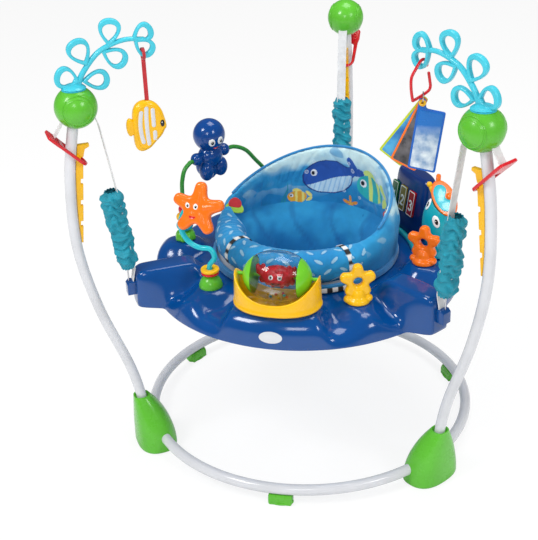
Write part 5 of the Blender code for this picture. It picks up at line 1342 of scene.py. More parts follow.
FISH_OUTLINE = (
    (0.56, 0.94), (0.05, 1.00), (-0.46, 0.87), (-0.79, 0.61), (-0.95, 0.31), (-1.06, -0.08), (-0.93, -0.23),
    (-0.74, -0.43), (-0.32, -0.68), (0.05, -0.89), (0.51, -0.99), (0.83, -0.91), (0.97, -0.69), (1.00, -0.29),
    (1.00, 0.31), (0.88, 0.71),
)
FISH_TAIL = (
    (0.026, 0.008), (0.036, 0.018), (0.042, 0.0165), (0.0455, 0.006), (0.0450, -0.006), (0.042, -0.0155),
    (0.036, -0.017), (0.026, -0.008),
)
LINK_HANG = (0.3205, 0.0, 0.8842)
LINK_ARC, LINK_WIRE = 0.0118, 0.0028
LINK_LINE = (
    (-0.020, -0.003), (-0.030, -0.015), (-0.031, -0.033), (-0.0265, -0.056), (-0.021, -0.0595),
    (0.015, -0.0525), (0.0225, -0.045), (0.021, -0.034), (0.017, -0.017),
)
LINK_LOW = (0.003, -0.0551)
CARD_RING_RADIUS, CARD_RING_WIRE, CARD_RING_TURN, CARD_TURN = 0.0095, 0.0011, 42.0, 30.0
FRONT_TILT = 8.0
CARD_WIDTH, CARD_HEIGHT, CARD_THICKNESS = 0.053, 0.132, 0.0032
CARD_INSET, CARD_TAB, CARD_SPREAD = 0.0075, 0.010, 0.0028


def teardrop(root, tip, half_width, count):
    root, tip = Vector(root), Vector(tip)
    axis = tip - root
    side = Vector((-axis.y, axis.x)).normalized()
    outline = []
    for i in range(count):
        a = 2 * pi * (i + 0.5) / count
        outline.append(root + axis * (1 - cos(a)) / 2 + side * half_width / 0.77 * sin(a) * sin(a / 2))
    return outline


def leaf_bar(side, corner):
    """A curved stem with seven open leaves on a saddle that sits on the head."""
    up = move((0, 0, HEAD_CENTRE[1]))
    stem = sweep("stem", upright_line(LEAF_STEM_LINE, 44), lambda u: 0.0058 - 0.0014 * u, 20, flat=0.0058,
                 plane=(0, 1, 0))
    pieces = [stem]
    for k, (root, tip, half) in enumerate(LEAVES):
        axis = (Vector(tip) - Vector(root)).normalized()
        hole = teardrop(Vector(root) + axis * LEAF_ROOT, Vector(tip) - axis * LEAF_END, half - LEAF_BAND, 34)
        pieces.append(slab("leaf", teardrop(root, tip, half, 56), LEAF_THICKNESS - 0.0004 * (k % 3), 0.0026,
                           UPRIGHT, 4, [hole]))
    reach = HEAD_RADIUS + 0.0008
    saddle = [(reach, a) for a in range(34, 5, -4)] + [(reach, 0), (reach + SADDLE_WALL, 0)]
    saddle += [(reach + SADDLE_WALL - 0.0022 * (a / 34) ** 4, a) for a in range(4, 35, 4)]
    profile = [(r * sin(radians(a)), r * cos(radians(a))) for r, a in saddle]
    pieces.append(turned("saddle", profile, 48, closed=False, matrix=move((HEAD_CENTRE[0], 0, 0))))
    pieces.append(sweep("pin", [(HEAD_CENTRE[0] - 0.004, 0, 0.0455), (HEAD_CENTRE[0] - 0.008, 0, 0.052)],
                        0.0065, 20))
    dress(joined(f"leafy_arm_{side}", pieces), CYAN, "frame", corner @ up, f"leaf_bar_{side}")


def eye(name, surface, start, direction, size, body, look=(0.0, 0.0), white=True, up=(0, 0, 1), tall=1.3):
    """A white dome with a black pupil and a small glint, set on a surface; in the surface's own frame."""
    basis = standing(surface, start, direction, up)
    made = []
    if white:
        made.append((ball(f"{name}_white", (size, size * tall, size * 0.28), around=24, levels=14),
                     EYE_WHITE, body))
    at = (look[0] * size, look[1] * size, size * (0.17 if white else 0.05))
    pupil = ball(f"{name}_pupil", (size * 0.52, size * 0.52 * tall, size * 0.20), at, 20, 12)
    at = ((look[0] - 0.12) * size, (look[1] + 0.25) * size, size * (0.32 if white else 0.20))
    glint = ball(f"{name}_glint", (size * 0.15, size * 0.15, size * 0.10), at, 12, 8)
    made += [(pupil, BLACK, body), (glint, EYE_WHITE, body)]
    for feature in made:
        feature[0].data.transform(basis)
    return made


def laid(obj, surface, basis):
    """Bends a flat mark onto a surface; basis is its place on it, with Z outwards."""
    tree = search_tree(surface)
    outwards = (basis.to_3x3() @ Vector((0, 0, 1))).normalized()
    for vertex in obj.data.vertices:
        start = basis @ Vector((vertex.co.x, vertex.co.y, 0.02))
        hit = tree.ray_cast(start, -outwards)[0]
        flat = basis @ Vector((vertex.co.x, vertex.co.y, 0))
        vertex.co = (flat if hit is None else hit) + outwards * vertex.co.z
    return obj


def smile(name, surface, start, direction, width, body, up=(0, 0, 1)):
    """An open smile: a red half moon with a paler tongue."""
    basis = standing(surface, start, direction, up)
    moon = [(width * cos(a), 0.30 * width - 0.95 * width * sin(a)) for a in np.linspace(0, pi, 22)]
    moon += [(width * c, 0.30 * width - 0.18 * width * (1 - c * c)) for c in np.linspace(-0.9, 0.9, 10)]
    mouth = laid(slab(f"{name}_mouth", moon, 0.0014, 0.0004), surface, basis)
    tongue = laid(ball(f"{name}_tongue", (width * 0.45, width * 0.28, 0.0008), (0, -0.32 * width, 0.0006),
                       around=20, levels=10),
                  surface, basis)
    return [(mouth, RED, body), (tongue, PINK, body)]


def place_features(features, matrix):
    for obj, material, body in features:
        dress(obj, material, body, matrix)


def fish(corner):
    """A striped fish on a red strap that loops round the lowest leaf."""
    up = move(FISH_HANG)
    outer = FISH_LOOP + 0.0013
    loop = turned("loop", [(FISH_LOOP, -0.003), (outer, -0.003), (outer, 0.003), (FISH_LOOP, 0.003)], 48,
                  matrix=LYING)
    fall = FISH_STRAP_DROP - FISH_LOOP + 0.004
    line = [Vector((0, 0, -FISH_LOOP + 0.0006 - i * fall / 12)) for i in range(13)]
    band = ribbon_mesh("band", line, *FISH_STRAP, across=(1, 0, 0))
    knot = ball("knot", (0.0042, 0.0030, 0.0036), (0, 0, -FISH_LOOP - 0.004), around=20, levels=12)
    band = joined("fish_strap", [loop, band, knot])
    dress(band, RED_CLOTH, "fish", corner @ up, sharp=50)
    middle = move((0, 0, -FISH_STRAP_DROP - FISH_HALF_HEIGHT + 0.006))
    outline = flat_loop([(x * FISH_HALF_WIDTH, z * FISH_HALF_HEIGHT) for x, z in FISH_OUTLINE], 96)
    body = slab("fish_body", outline, FISH_THICKNESS, 0.0075, UPRIGHT, 6)
    tail = slab("fish_tail", flat_loop(FISH_TAIL, 48), FISH_THICKNESS * 0.5, 0.004, UPRIGHT, 4)
    place = corner @ up @ middle
    border = []
    for side in (-1, 1):
        ring = [(x * 0.80 + 0.001, y * 0.83) for x, y in outline]
        border.append(sweep("border", [(x, side * (FISH_THICKNESS / 2 - 0.0004), z) for x, z in ring],
                            0.0014, 10, cyclic=True))
        for x, low, high, bend in ((0.0155, -0.031, 0.031, 0.004), (0.0045, -0.036, 0.039, 0.002),
                                   (-0.0075, 0.001, 0.034, 0.0),
                                   (-0.0085, -0.027, -0.012, 0.0)):
            line = [(x + bend * (1 - (2 * i / 10 - 1) ** 2), side * (FISH_THICKNESS / 2 + 0.0001),
                     low + (high - low) * i / 10)
                    for i in range(11)]
            stripe = sweep("fish_stripe", line, 0.0041, 16, flat=0.0009, plane=(0, 1, 0))
            dress(stripe, WHITE, "fish", place)
        place_features(eye("fish_eye", body, (-0.0250, side * 0.03, 0.004), (0, -side, 0), 0.0080, "fish",
                           (0.0, 0.0), False, tall=1.75), place)
    dress(joined("striped_fish", [body, tail, *border]), YELLOW, "fish", place, "hanging_fish", 50)


def link_and_cards(corner):
    """A red toy link over the leaf, with a wire ring and three cards."""
    at = corner @ move(LINK_HANG)
    over = arc((-10, 25, 60, 95, 130), LINK_ARC)
    line = smooth_line([(0, t, z) for t, z in over + list(LINK_LINE)], 110)
    dress(sweep("red_link", line, LINK_WIRE, 16), RED, "link", at, "toy_link")
    ring_at = at @ move((0, *LINK_LOW)) @ spin(CARD_RING_TURN, "Z")
    drop = CARD_RING_RADIUS - LINK_WIRE - 3 * GAP - CARD_RING_WIRE
    circle = [(0, CARD_RING_RADIUS * sin(a), -drop - CARD_RING_RADIUS * cos(a)) for a in turns(48)]
    dress(sweep("card_wire", circle, CARD_RING_WIRE, 10, cyclic=True), STEEL, "ring_of_cards", ring_at,
          "card_ring")
    low = move((0, 0, -drop - CARD_RING_RADIUS)) @ spin(CARD_TURN - CARD_RING_TURN, "Z")
    for name, replaced, body, edge, offset, tilt, picture, slot in (
            ("front_picture_card", "card_front", "front_card", CARD_BLUE, -CARD_SPREAD, FRONT_TILT,
             FOAM_PICTURE, "card_blue"),
            ("back_picture_card", "card_back", "back_card", ORANGE, CARD_SPREAD, 24.0, NIGHT_PICTURE,
             "card_orange"),
            ("third_picture_card", None, "back_card", LIME, CARD_SPREAD + 0.0052, 36.0, REEF_PICTURE,
             "card_orange")):
        card(name, replaced, body, edge, ring_at @ low, offset, tilt, picture)
    eyelet = [(0.0046 + 0.0024 * cos(a), 0.0012 * sin(a)) for a in np.linspace(0, 2 * pi, 13)[:-1]]
    place = ring_at @ low @ move((0, -CARD_SPREAD, 0)) @ spin(FRONT_TILT, "Y") @ UPRIGHT
    dress(turned("card_eyelet", eyelet, 40, matrix=move((0, 0, CARD_THICKNESS / 2 + 0.0008))), YELLOW,
          "front_card", place)


def card(name, replaced, body, edge, at, offset, tilt, picture):
    w, h, inset = CARD_WIDTH, CARD_HEIGHT, CARD_INSET
    left = -inset
    outline = rounded([(left + 0.5 * w, -h), (left + w, -h), (left + w, -CARD_TAB),
                       (left + w * 0.30, -CARD_TAB), (left + w * 0.24, inset),
                       (left, inset), (left, -h), (left + 0.5 * w, -h)], 0.0045, 5)[:-1]
    place = at @ move((0, offset, 0)) @ spin(tilt, "Y") @ UPRIGHT
    plate = slab(name, outline, CARD_THICKNESS, 0.0008, segments=2, holes=[disc(0.0040, 24)])
    dress(plate, edge, body, place, replaced or ())
    low, high, near, far = -h + 0.004, -CARD_TAB - 0.004, left + 0.004, left + w - 0.004
    inner = rounded_box(near, low, far, high, 0.003)
    for word, side in (("front", 1), ("rear", -1)):
        panel = slab(f"{name}_{word}", inner, 0.0008, 0.0002,
                     move((0, 0, side * (CARD_THICKNESS / 2 - 0.0001))), 1)
        dress(panel, picture, body, place)


# ---- Globe in its cradle ----

GLOBE_HALF, GLOBE_RADIUS, GLOBE_SHELL_HALF, GLOBE_SHELL_WALL = 0.070, 0.0525, 0.046, 0.002
GLOBE_AXLE, GLOBE_AXLE_HALF = 0.0035, 0.0838
CRADLE_HALF_LENGTH, CRADLE_FRONT_DEPTH, CRADLE_BACK_DEPTH = 0.090, 0.068, 0.041
CRADLE_FRONT_RISE, CRADLE_BACK_RISE, CRADLE_TIP_RISE, CRADLE_POWER = 0.025, 0.010, 0.068, 2.2


def globe():
    at = move(GLOBE_AT)
    lying = at @ LYING

    def ellipse(h, shrink=0.0):
        return (GLOBE_RADIUS - shrink) * sqrt(max(0.0, 1 - (h / GLOBE_HALF) ** 2))

    levels = [GLOBE_SHELL_HALF * (1 - 2 * i / 30) for i in range(31)]
    shell = [(ellipse(h), h) for h in levels] + [(ellipse(h, GLOBE_SHELL_WALL), h) for h in levels[::-1]]
    dress(turned("clear_globe", shell, 96), CLEAR, "globe", HOME @ lying, "globe_shell")
    inset = GLOBE_SHELL_HALF + GAP
    half = [(0.0, GLOBE_AXLE_HALF), (GLOBE_AXLE - 0.0006, GLOBE_AXLE_HALF),
            (GLOBE_AXLE, GLOBE_AXLE_HALF - 0.0006)]
    half += [(max(GLOBE_AXLE, ellipse(h)), h) for h in [inset + (GLOBE_HALF - inset) * sin(radians(a))
                                                        for a in range(86, -1, -5)]]
    half.append((GLOBE_AXLE, inset))
    caps = turned("globe_caps", half + [(r, -h) for r, h in half[::-1]], 80, closed=False)
    dress(caps, GLOBE_GREEN, "globe", HOME @ lying, "globe_caps_axle", 40)
    crab(at)


def crab(at):
    """The crab inside turns with the globe: a body, two claws, short legs, eyes and a mouth."""
    pieces = [ball("body", (0.0330, 0.025, 0.0205), (0, 0, 0.001))]
    for sign in (-1, 1):
        pieces += [ball("claw", (0.0115, 0.0085, 0.0105), (sign * 0.0300, -0.005, 0.0125)),
                   ball("pinch", (0.0050, 0.0060, 0.0080), (sign * 0.0365, -0.006, 0.0195)),
                   ball("pinch", (0.0050, 0.0060, 0.0070), (sign * 0.0260, -0.006, 0.0215)),
                   ball("brow", (0.0085, 0.0070, 0.0075), (sign * 0.0090, -0.0150, 0.0125))]
        pieces += [ball("leg", (0.0060, 0.0060, 0.0085),
                        (sign * (0.009 + 0.0105 * k), -0.002, -0.0165 + 0.0045 * k)) for k in range(3)]
    body = fused("red_crab", pieces, 0.0011, 5)
    features = []
    for x in (-0.0075, 0.0100):
        features += eye("crab_eye", body, (x, -0.05, 0.0075), (0, 1, 0), 0.0048, "globe", (0.05, 0.0),
                        tall=1.05)
    outline = flat_loop([(-0.009, 0.0), (0.0, 0.0022), (0.009, 0.0), (0.007, -0.003), (0.0, -0.004),
                         (-0.007, -0.003)], 30)
    on_face = standing(body, (0.0015, -0.06, -0.0055), (0, 1, 0))
    mouth = laid(slab("crab_mouth", outline, 0.0014, 0.0004), body, on_face)
    features.append((mouth, BLACK, "globe"))
    for k, (x, y, material) in enumerate(((-0.014, -0.006, CYAN), (-0.006, 0.006, ORANGE),
                                          (0.003, -0.008, YELLOW), (0.011, 0.004, CYAN),
                                          (0.019, -0.004, ORANGE), (-0.022, 0.003, YELLOW),
                                          (0.007, 0.012, RED))):
        floor = -(GLOBE_RADIUS - GLOBE_SHELL_WALL - 0.0033) * sqrt(1 - (x / GLOBE_HALF) ** 2)
        at_rest = (x, y, floor + 0.0012 + abs(y) * 0.12)
        bead = ball(f"globe_bead_{k}", (0.003, 0.003, 0.003), at_rest, around=16, levels=10)
        features.append((bead, material, "globe"))
    place_features(features, HOME @ at)
    dress(body, RED, "globe", HOME @ at, "globe_crab", 60)


def cradle_ring(shrink, height):
    ring = []
    for a in turns(96):
        depth = (CRADLE_BACK_DEPTH if sin(a) > 0 else CRADLE_FRONT_DEPTH) - shrink
        x = GLOBE_AT[0] + (CRADLE_HALF_LENGTH - shrink) * squared(cos(a), 0.9)
        y = GLOBE_AT[1] + depth * squared(sin(a), 0.9)
        ring.append((x, y, height(x, y) if callable(height) else height))
    return ring


def cradle():
    low = PLATFORM_TOP + GAP

    def rim(x, y):
        share = min(1.0, abs(x - GLOBE_AT[0]) / (CRADLE_HALF_LENGTH - 0.004))
        front = step(-0.006, 0.006, GLOBE_AT[1] - y)
        middle = CRADLE_BACK_RISE + (CRADLE_FRONT_RISE - CRADLE_BACK_RISE) * front
        return low + middle + (CRADLE_TIP_RISE - middle) * share ** 2.6

    rings = [cradle_ring(shrink, low + rise) for shrink, rise in (
        (0.035, 0), (0.0035, 0), (0.0012, 0.0012), (0.0, 0.004), (0.0, 0.0075), (0.0014, 0.0088))]
    for k in range(1, 6):
        shrink = 0.0014 + 0.0024 * k / 5
        rings.append(cradle_ring(shrink, lambda x, y: low + 0.0095 + (rim(x, y) - low - 0.0115) * k / 5))
    for shrink, under in ((0.0048, 0.0006), (0.0066, 0), (0.0086, 0.0006), (0.0100, 0.0024)):
        rings.append(cradle_ring(shrink, lambda x, y: rim(x, y) - under))
    rings += [cradle_ring(shrink, low + rise)
              for shrink, rise in ((0.0180, 0.008), (0.024, 0.003), (0.035, 0.002))]
    shell = loft("yellow_cradle", rings)
    bore = plug(GLOBE_AXLE + GAP, -0.1, 0.1, 32, move(GLOBE_AT) @ LYING)
    dress(cut(shell, bore), YELLOW, "tray_body", replaces="globe_cradle", sharp=50)


# ---- Stars, spiral and arch ----

SPIRAL_LINE = (
    (0.0, 0.0, 0.0), (0.0, 0.0, 0.020), (0.011, 0.0, 0.038), (0.003, 0.001, 0.056), (-0.022, 0.002, 0.058),
    (-0.044, 0.003, 0.070), (-0.057, 0.004, 0.094), (-0.055, 0.006, 0.121), (-0.042, 0.012, 0.140),
)
SPIRAL_STAR = (-0.012, -0.013, 0.151)
DOME_TOP, WASHER_BORE = 0.027, 0.0075
STAR_REACH, STAR_WAIST, STAR_THICKNESS, STAR_TILT, STAR_TURN = 0.054, 0.030, 0.020, 20.0, -6.0
LINK_STAR_REACH, LINK_STAR_WAIST, LINK_STAR_HOLE = 0.0365, 0.0235, 0.0088
LINK_STAR_THICKNESS, LINK_STAR_RISE = 0.018, 0.046


def chubby_star(reach, waist, spread=0.21):
    points = []
    for i in range(10):
        a = pi / 2 + pi * i / 5
        if i % 2:
            points.append((waist * cos(a), waist * sin(a)))
            continue
        points += [(reach * k * cos(a + side * spread), reach * k * sin(a + side * spread))
                   for side, k in ((-1, 0.93), (0, 1.01), (1, 0.93))]
    return flat_loop(points, 120)


def spiral():
    top = DOME_TOP
    base = HOME @ move((*SPIRAL_AT, SPIRAL_MOUND_TOP + GAP))
    dome = arc(range(64, -1, -8), 0.0245, top)
    bore = rounded([(0.0060, top - 0.011), (0.0060, top - 0.0002), (0.0100, top - 0.0004)], 0.001)
    profile = bore + dome + [(0.0248, 0.0035), (0.0245, 0.0004), (0.0060, 0.0)]
    dress(turned("green_dome", profile, 64), GREEN, "tray_body", base, "spiral_base")
    normal = Vector((0, -cos(radians(STAR_TILT)), sin(radians(STAR_TILT))))
    back = Vector(SPIRAL_STAR) - normal * STAR_THICKNESS / 2
    route = [(0, 0, -0.0115), *SPIRAL_LINE, back - normal * 0.010, back - normal * 0.001]
    wire_at = base @ move((0, 0, top))
    dress(sweep("bent_wire", smooth_line(route, 90), 0.0055, 22), TURQUOISE, "tray_body", wire_at,
          "spiral_wire")
    lower = rounded([(WASHER_BORE, 0.0002), (0.0168, 0.0002), (0.0185, 0.0020), (0.0185, 0.0040),
                     (0.0165, 0.0054), (WASHER_BORE, 0.0054)], 0.0012)
    upper = rounded([(WASHER_BORE, 0.0056), (0.0170, 0.0056), (0.0195, 0.0080), (0.0195, 0.0115),
                     (0.0180, 0.0138), (0.0105, 0.0138), (WASHER_BORE, 0.0125)], 0.0014)
    ring_at = base @ move((0, 0, top + GAP))
    dress(turned("red_washer", lower, 56), RED, "rings", ring_at)
    dress(turned("yellow_washer", upper, 56), YELLOW, "rings", ring_at, "stacking_ring")
    spinner(wire_at)


def spinner(wire_at):
    """The orange star with ridged arms, eyes and a smile."""
    turn = Matrix.Rotation(pi / 2 - radians(STAR_TILT), 4, "X") @ spin(STAR_TURN, "Z")
    place = wire_at @ move(SPIRAL_STAR) @ turn
    pieces = [slab("body", chubby_star(STAR_REACH, STAR_WAIST), STAR_THICKNESS, 0.0075, segments=6)]
    for i in range(5):
        a = pi / 2 + 2 * pi * i / 5
        line = [(d * cos(a), d * sin(a), 0.0074 - 12 * max(0.0, d - 0.030) ** 2)
                for d in np.linspace(0.013, 0.044, 9)]
        pieces.append(sweep("ridge", line, lambda u: 0.0048 - 0.0016 * u, 16))
    star = fused("orange_star", pieces, 0.0011, 5)
    features = []
    for x in (-0.0195, -0.0030):
        features += eye("star_eye", star, (x, 0.0045, 0.05), (0, 0, -1), 0.0048, "star", (0.12, -0.05),
                        up=(0, 1, 0))
    features += smile("star", star, (-0.0070, -0.0165, 0.05), (0, 0, -1), 0.0068, "star", up=(0, 1, 0))
    socket = plug(0.0060, -0.02, -0.004, 32)
    place_features(features, place)
    dress(cut(star, socket), ORANGE, "star", place, "star_spinner", 60)


def link_star(name, material):
    x, y, z, turn = LINK_STARS[name]
    place = HOME @ move((x, y, z + GAP)) @ spin(turn, "Z")
    up = move((0, 0, LINK_STAR_RISE)) @ UPRIGHT
    pieces = [slab("star", chubby_star(LINK_STAR_REACH, LINK_STAR_WAIST, spread=0.26), LINK_STAR_THICKNESS,
                   0.0062, up, 6, [disc(LINK_STAR_HOLE + 0.0006)])]
    neck = [(0.0, 0.030), (0.0125, 0.029), (0.0160, 0.022), (0.0180, 0.014), (0.0235, 0.0085),
            (0.0250, 0.0045), (0.0246, 0.0006), (0.0, 0.0006)]
    pieces.append(turned("neck", neck, 48, closed=False))
    for side in (-1, 1):
        pieces.append(ball("toe", (0.0090, 0.0105, 0.0078), (side * 0.0205, -0.004, 0.0086)))
    dress(fused(f"chubby_{name}", pieces, 0.0010, 5), material, "tray_body", place, name, 60)


def arch_point(s, z):
    a, b = Vector((*ARCH_FOOT, 0)), Vector((*ARCH_FAR_FOOT, 0))
    return a + (b - a).normalized() * s + Vector((0, 0, z))


ARCH_TOP, ARCH_WIRE, ARCH_BASE_HEIGHT = 0.592, 0.0047, 0.060
OCTOPUS_ALONG, OCTOPUS_HEAD_RISE = 0.088, 0.047
BEAD_RADIUS = 0.0115


def arch():
    span = (Vector(ARCH_FAR_FOOT) - Vector(ARCH_FOOT)).length
    base_top, top = ARCH_MOUND_TOP + GAP + ARCH_BASE_HEIGHT, ARCH_TOP
    rise = [(0.0, base_top - 0.0115), (0.0, base_top + 0.02), (0.0, base_top + 0.055), (0.002, top - 0.036),
            (0.010, top - 0.014),
            (0.024, top - 0.003), (0.040, top), (0.135, top), (0.165, top - 0.004), (0.197, top - 0.022),
            (0.225, top - 0.053),
            (span - 0.050, top - 0.090), (span - 0.024, top - 0.128), (span - 0.003, ARCH_MOUND_TOP + 0.024),
            (span, ARCH_MOUND_TOP + 0.0015)]
    line = [arch_point(p.x, p.y) for p in smooth_line([(s, z, 0) for s, z in rise], 130)]
    dress(sweep("green_arch", line, ARCH_WIRE, 18), DARK_GREEN, "tray_body", replaces="arch_wire")
    base = HOME @ move((*ARCH_FOOT, ARCH_MOUND_TOP + GAP))
    rings = []
    for u, r in ((0.0, 0.0205), (0.002, 0.0222), (0.006, 0.0224), (0.012, 0.0208), (0.018, 0.0172),
                 (0.0195, 0.0140)):
        rings.append([((r + 0.0011 * cos(8 * a)) * cos(a), (r + 0.0011 * cos(8 * a)) * sin(a), u)
                      for a in np.linspace(0, 2 * pi, 97)[:-1]])
    dress(loft("arch_foot", rings), GREEN, "tray_body", base, "arch_base", 60)
    round_part = [(0.0185 * cos(radians(a)) if abs(a) < 80 else 0.004, 0.0330 + 0.0135 * sin(radians(a)))
                  for a in range(-84, 85, 8)]
    dress(turned("arch_ball", [(0.0, 0.0196), *round_part, (0.0, 0.0464)], 56, closed=False), TURQUOISE,
          "tray_body", base)
    disc_part = rounded([(0.0052, 0.0466), (0.0150, 0.0466), (0.0172, 0.0500), (0.0172, 0.0555),
                         (0.0145, 0.0598), (0.0052, 0.0598)], 0.0018)
    dress(turned("arch_disc", disc_part, 56), YELLOW, "tray_body", base)
    b = BEAD_RADIUS
    bead = arc(range(-60, 61, 8), b, centre=(0, b)) + [(0.0055, 2 * b - 0.0015), (0.0055, 0.0015)]
    dress(turned("red_bead", bead, 48), RED, "bead", base @ move((0, 0, ARCH_BASE_HEIGHT + GAP - 0.001)),
          "arch_bead")


def octopus():
    """A plump octopus threaded on the arch: it holds the wire with two arms and swings on it."""
    centre = arch_point(OCTOPUS_ALONG, ARCH_TOP)
    d = (arch_point(1, 0) - arch_point(0, 0)).normalized()
    turn = move(centre) @ Matrix.Rotation(atan2(d.y, d.x), 4, "Z")
    head_at = Vector((0, 0, OCTOPUS_HEAD_RISE))
    pieces = [ball("head", (0.036, 0.0345, 0.036), head_at, around=40, levels=28),
              ball("body", (0.030, 0.0245, 0.0265), (0, 0, -0.001))]
    for sign in (-1, 1):
        pieces += [ball("hand", (0.0135, 0.0140, 0.0140), (sign * 0.0400, 0, 0.001)),
                   ball("arm", (0.0190, 0.0105, 0.0105), (sign * 0.0285, 0, 0.0035))]
    for at in ((-0.0205, -0.008, -0.030), (0.0205, -0.008, -0.030), (-0.012, 0.012, -0.025),
               (0.014, 0.012, -0.025), (0.0, 0.004, -0.034)):
        pieces.append(ball("leg", (0.0170, 0.0155, 0.0225), at))
    body = fused("blue_octopus", pieces, 0.00125, 4)
    back = turn.to_3x3().inverted()
    features = []
    for direction in ((0.454, -0.867, -0.207), (0.880, -0.460, -0.160)):
        ray = back @ Vector(direction)
        features += eye("octopus_eye", body, head_at + ray * 0.08, -ray, 0.0074, "octopus_body",
                        (0.10, -0.05), tall=1.2)
    ray = back @ Vector((0.57, -0.52, -0.63))
    features += smile("octopus", body, head_at + ray * 0.08, -ray, 0.0058, "octopus_body")
    bore = plug(ARCH_WIRE + 2 * GAP, -0.08, 0.08, 32, LYING)
    place_features(features, HOME @ turn)
    dress(cut(body, bore), OCTOPUS_BLUE, "octopus_body", HOME @ turn, "octopus", 60)


# ---- Console ----

CONSOLE_ANGLE = 38.0
CONSOLE_FOOT, CONSOLE_TOP, CONSOLE_RISE, CONSOLE_HALF = (0.236, 0.308), (0.258, 0.302), 0.534, 0.067
KEY_WIDTH, KEY_HEIGHT, KEY_DEPTH = 0.026, 0.058, 0.006
KEY_PROUD, KEY_PITCH, KEY_TRAVEL = 0.0035, 0.0365, 0.003
KEY_RISE, KEY_OFFSET = 0.072, 0.0095
KEYS = ((3, "three", KEY_RED, "key_red"), (2, "two", KEY_OLIVE, "key_olive"),
        (1, "one", KEY_GREEN, "key_green"))
TURTLE_AT, TURTLE_RADII, TURTLE_NECK = (0.282, 0.055, 0.466), (0.036, 0.038, 0.066), 0.072
TURTLE_EYES = (((0.2600, 0.0448, 0.5149), 0.0074), ((0.2799, 0.0198, 0.4863), 0.0078))
FLAP_AT, FLAP_RADII, FLAP_THICKNESS = (0.292, 0.052, 0.527), (0.024, 0.044), 0.010
DIGITS = {
    1: [[(-0.0035, 0.007), (0.001, 0.0105), (0.001, -0.0105)]],
    2: [[(-0.0050, 0.0062), (-0.0030, 0.0098), (0.0015, 0.0104), (0.0048, 0.0068), (0.0035, 0.0015),
         (-0.0015, -0.0045), (-0.0052, -0.0100)],
        [(-0.0052, -0.0100), (0.0055, -0.0100)]],
    3: [[(-0.0048, 0.0082), (-0.0010, 0.0105), (0.0038, 0.0086), (0.0042, 0.0040), (0.0000, 0.0008)],
        [(0.0000, 0.0008), (0.0050, -0.0020), (0.0052, -0.0075), (0.0005, -0.0106), (-0.0050, -0.0085)]],
}


def console_ring(inner, outer, half, height):
    ring = []
    for a in turns(96):
        t = half * squared(sin(a), 0.55)
        far = sqrt(outer ** 2 - t ** 2)
        x = inner + (far - inner) * (0.5 + 0.5 * squared(cos(a), 0.55))
        ring.append((x, t, height(x, t) if callable(height) else height))
    return ring


def console():
    """The key console and its three keys."""
    turn = spin(CONSOLE_ANGLE, "Z")
    low_in, low_out = CONSOLE_FOOT
    top_in, top_out = CONSOLE_TOP

    def on_tray(x, t):
        p = turn @ Vector((x, t, 0))
        return tray_height(degrees(atan2(p.y, p.x)), hypot(p.x, p.y)) + 0.0012

    rings = [console_ring(low_in, low_out, CONSOLE_HALF, on_tray)]
    for u, ease in ((0.12, 0.0), (0.25, 0.0), (0.45, 0.0), (0.65, 0.0), (0.85, 0.0), (0.93, 0.0008),
                    (0.97, 0.0025), (0.99, 0.0045), (1.0, 0.0075), (1.0, 0.016)):
        inner = low_in + (top_in - low_in) * u + ease
        outer = low_out + (top_out - low_out) * u - ease
        rings.append(console_ring(inner, outer, CONSOLE_HALF - 0.004 * u - ease,
                                  TRAY_TOP + (CONSOLE_RISE - TRAY_TOP) * u))
    body = loft("key_console", rings)
    lean = atan2(top_in - low_in, CONSOLE_RISE - TRAY_TOP)
    face_z = TRAY_TOP + KEY_RISE
    face_x = low_in + (top_in - low_in) * KEY_RISE / (CONSOLE_RISE - TRAY_TOP)
    outline = rounded_box(-KEY_WIDTH / 2, -KEY_HEIGHT / 2, KEY_WIDTH / 2, KEY_HEIGHT / 2, 0.004)
    to_face = Matrix(((0, 0, 1, 0), (1, 0, 0, 0), (0, 1, 0, 0), (0, 0, 0, 1)))
    for k, (number, word, material, slot) in enumerate(KEYS):
        place = move((face_x, KEY_OFFSET + (k - 1) * KEY_PITCH, face_z)) @ Matrix.Rotation(lean, 4, "Y")
        wider = [(x * (1 + 0.0012 / KEY_WIDTH), y * (1 + 0.0012 / KEY_HEIGHT)) for x, y in outline]
        pocket = slab("pocket", wider, 2 * (KEY_DEPTH + KEY_TRAVEL + 3 * GAP - KEY_PROUD), 0.0001,
                      place @ to_face, 1)
        body = cut(body, pocket)
        owner = f"key_{word}"
        key = slab(f"key_cap_{number}", outline, KEY_DEPTH, 0.0014,
                   place @ move((KEY_DEPTH / 2 - KEY_PROUD, 0, 0)) @ to_face, 4)
        front = -KEY_PROUD - 0.0001
        edge = [(front, -x * 0.86, y * 0.93) for x, y in outline]
        border = sweep(f"key_border_{number}", edge, 0.00105, 10, cyclic=True, flat=0.0004, plane=(1, 0, 0))
        lines = []
        for stroke in DIGITS[number]:
            points = [Vector((front, -x, z - 0.004)) for x, z in stroke]
            if len(stroke) > 3:
                points = smooth_line(points, 26)
            lines.append(sweep("stroke", points, 0.0023, 12, flat=0.0005, plane=(1, 0, 0)))
        digit = joined(f"key_digit_{number}", lines)
        dress(key, material, owner, HOME @ turn, f"key_{number}")
        for extra in (border, digit):
            extra.data.transform(place)
            dress(extra, EYE_WHITE, owner, HOME @ turn)
    dress(body, NAVY, "tray_body", HOME @ turn, "console_body", 50)
    turtle(turn)


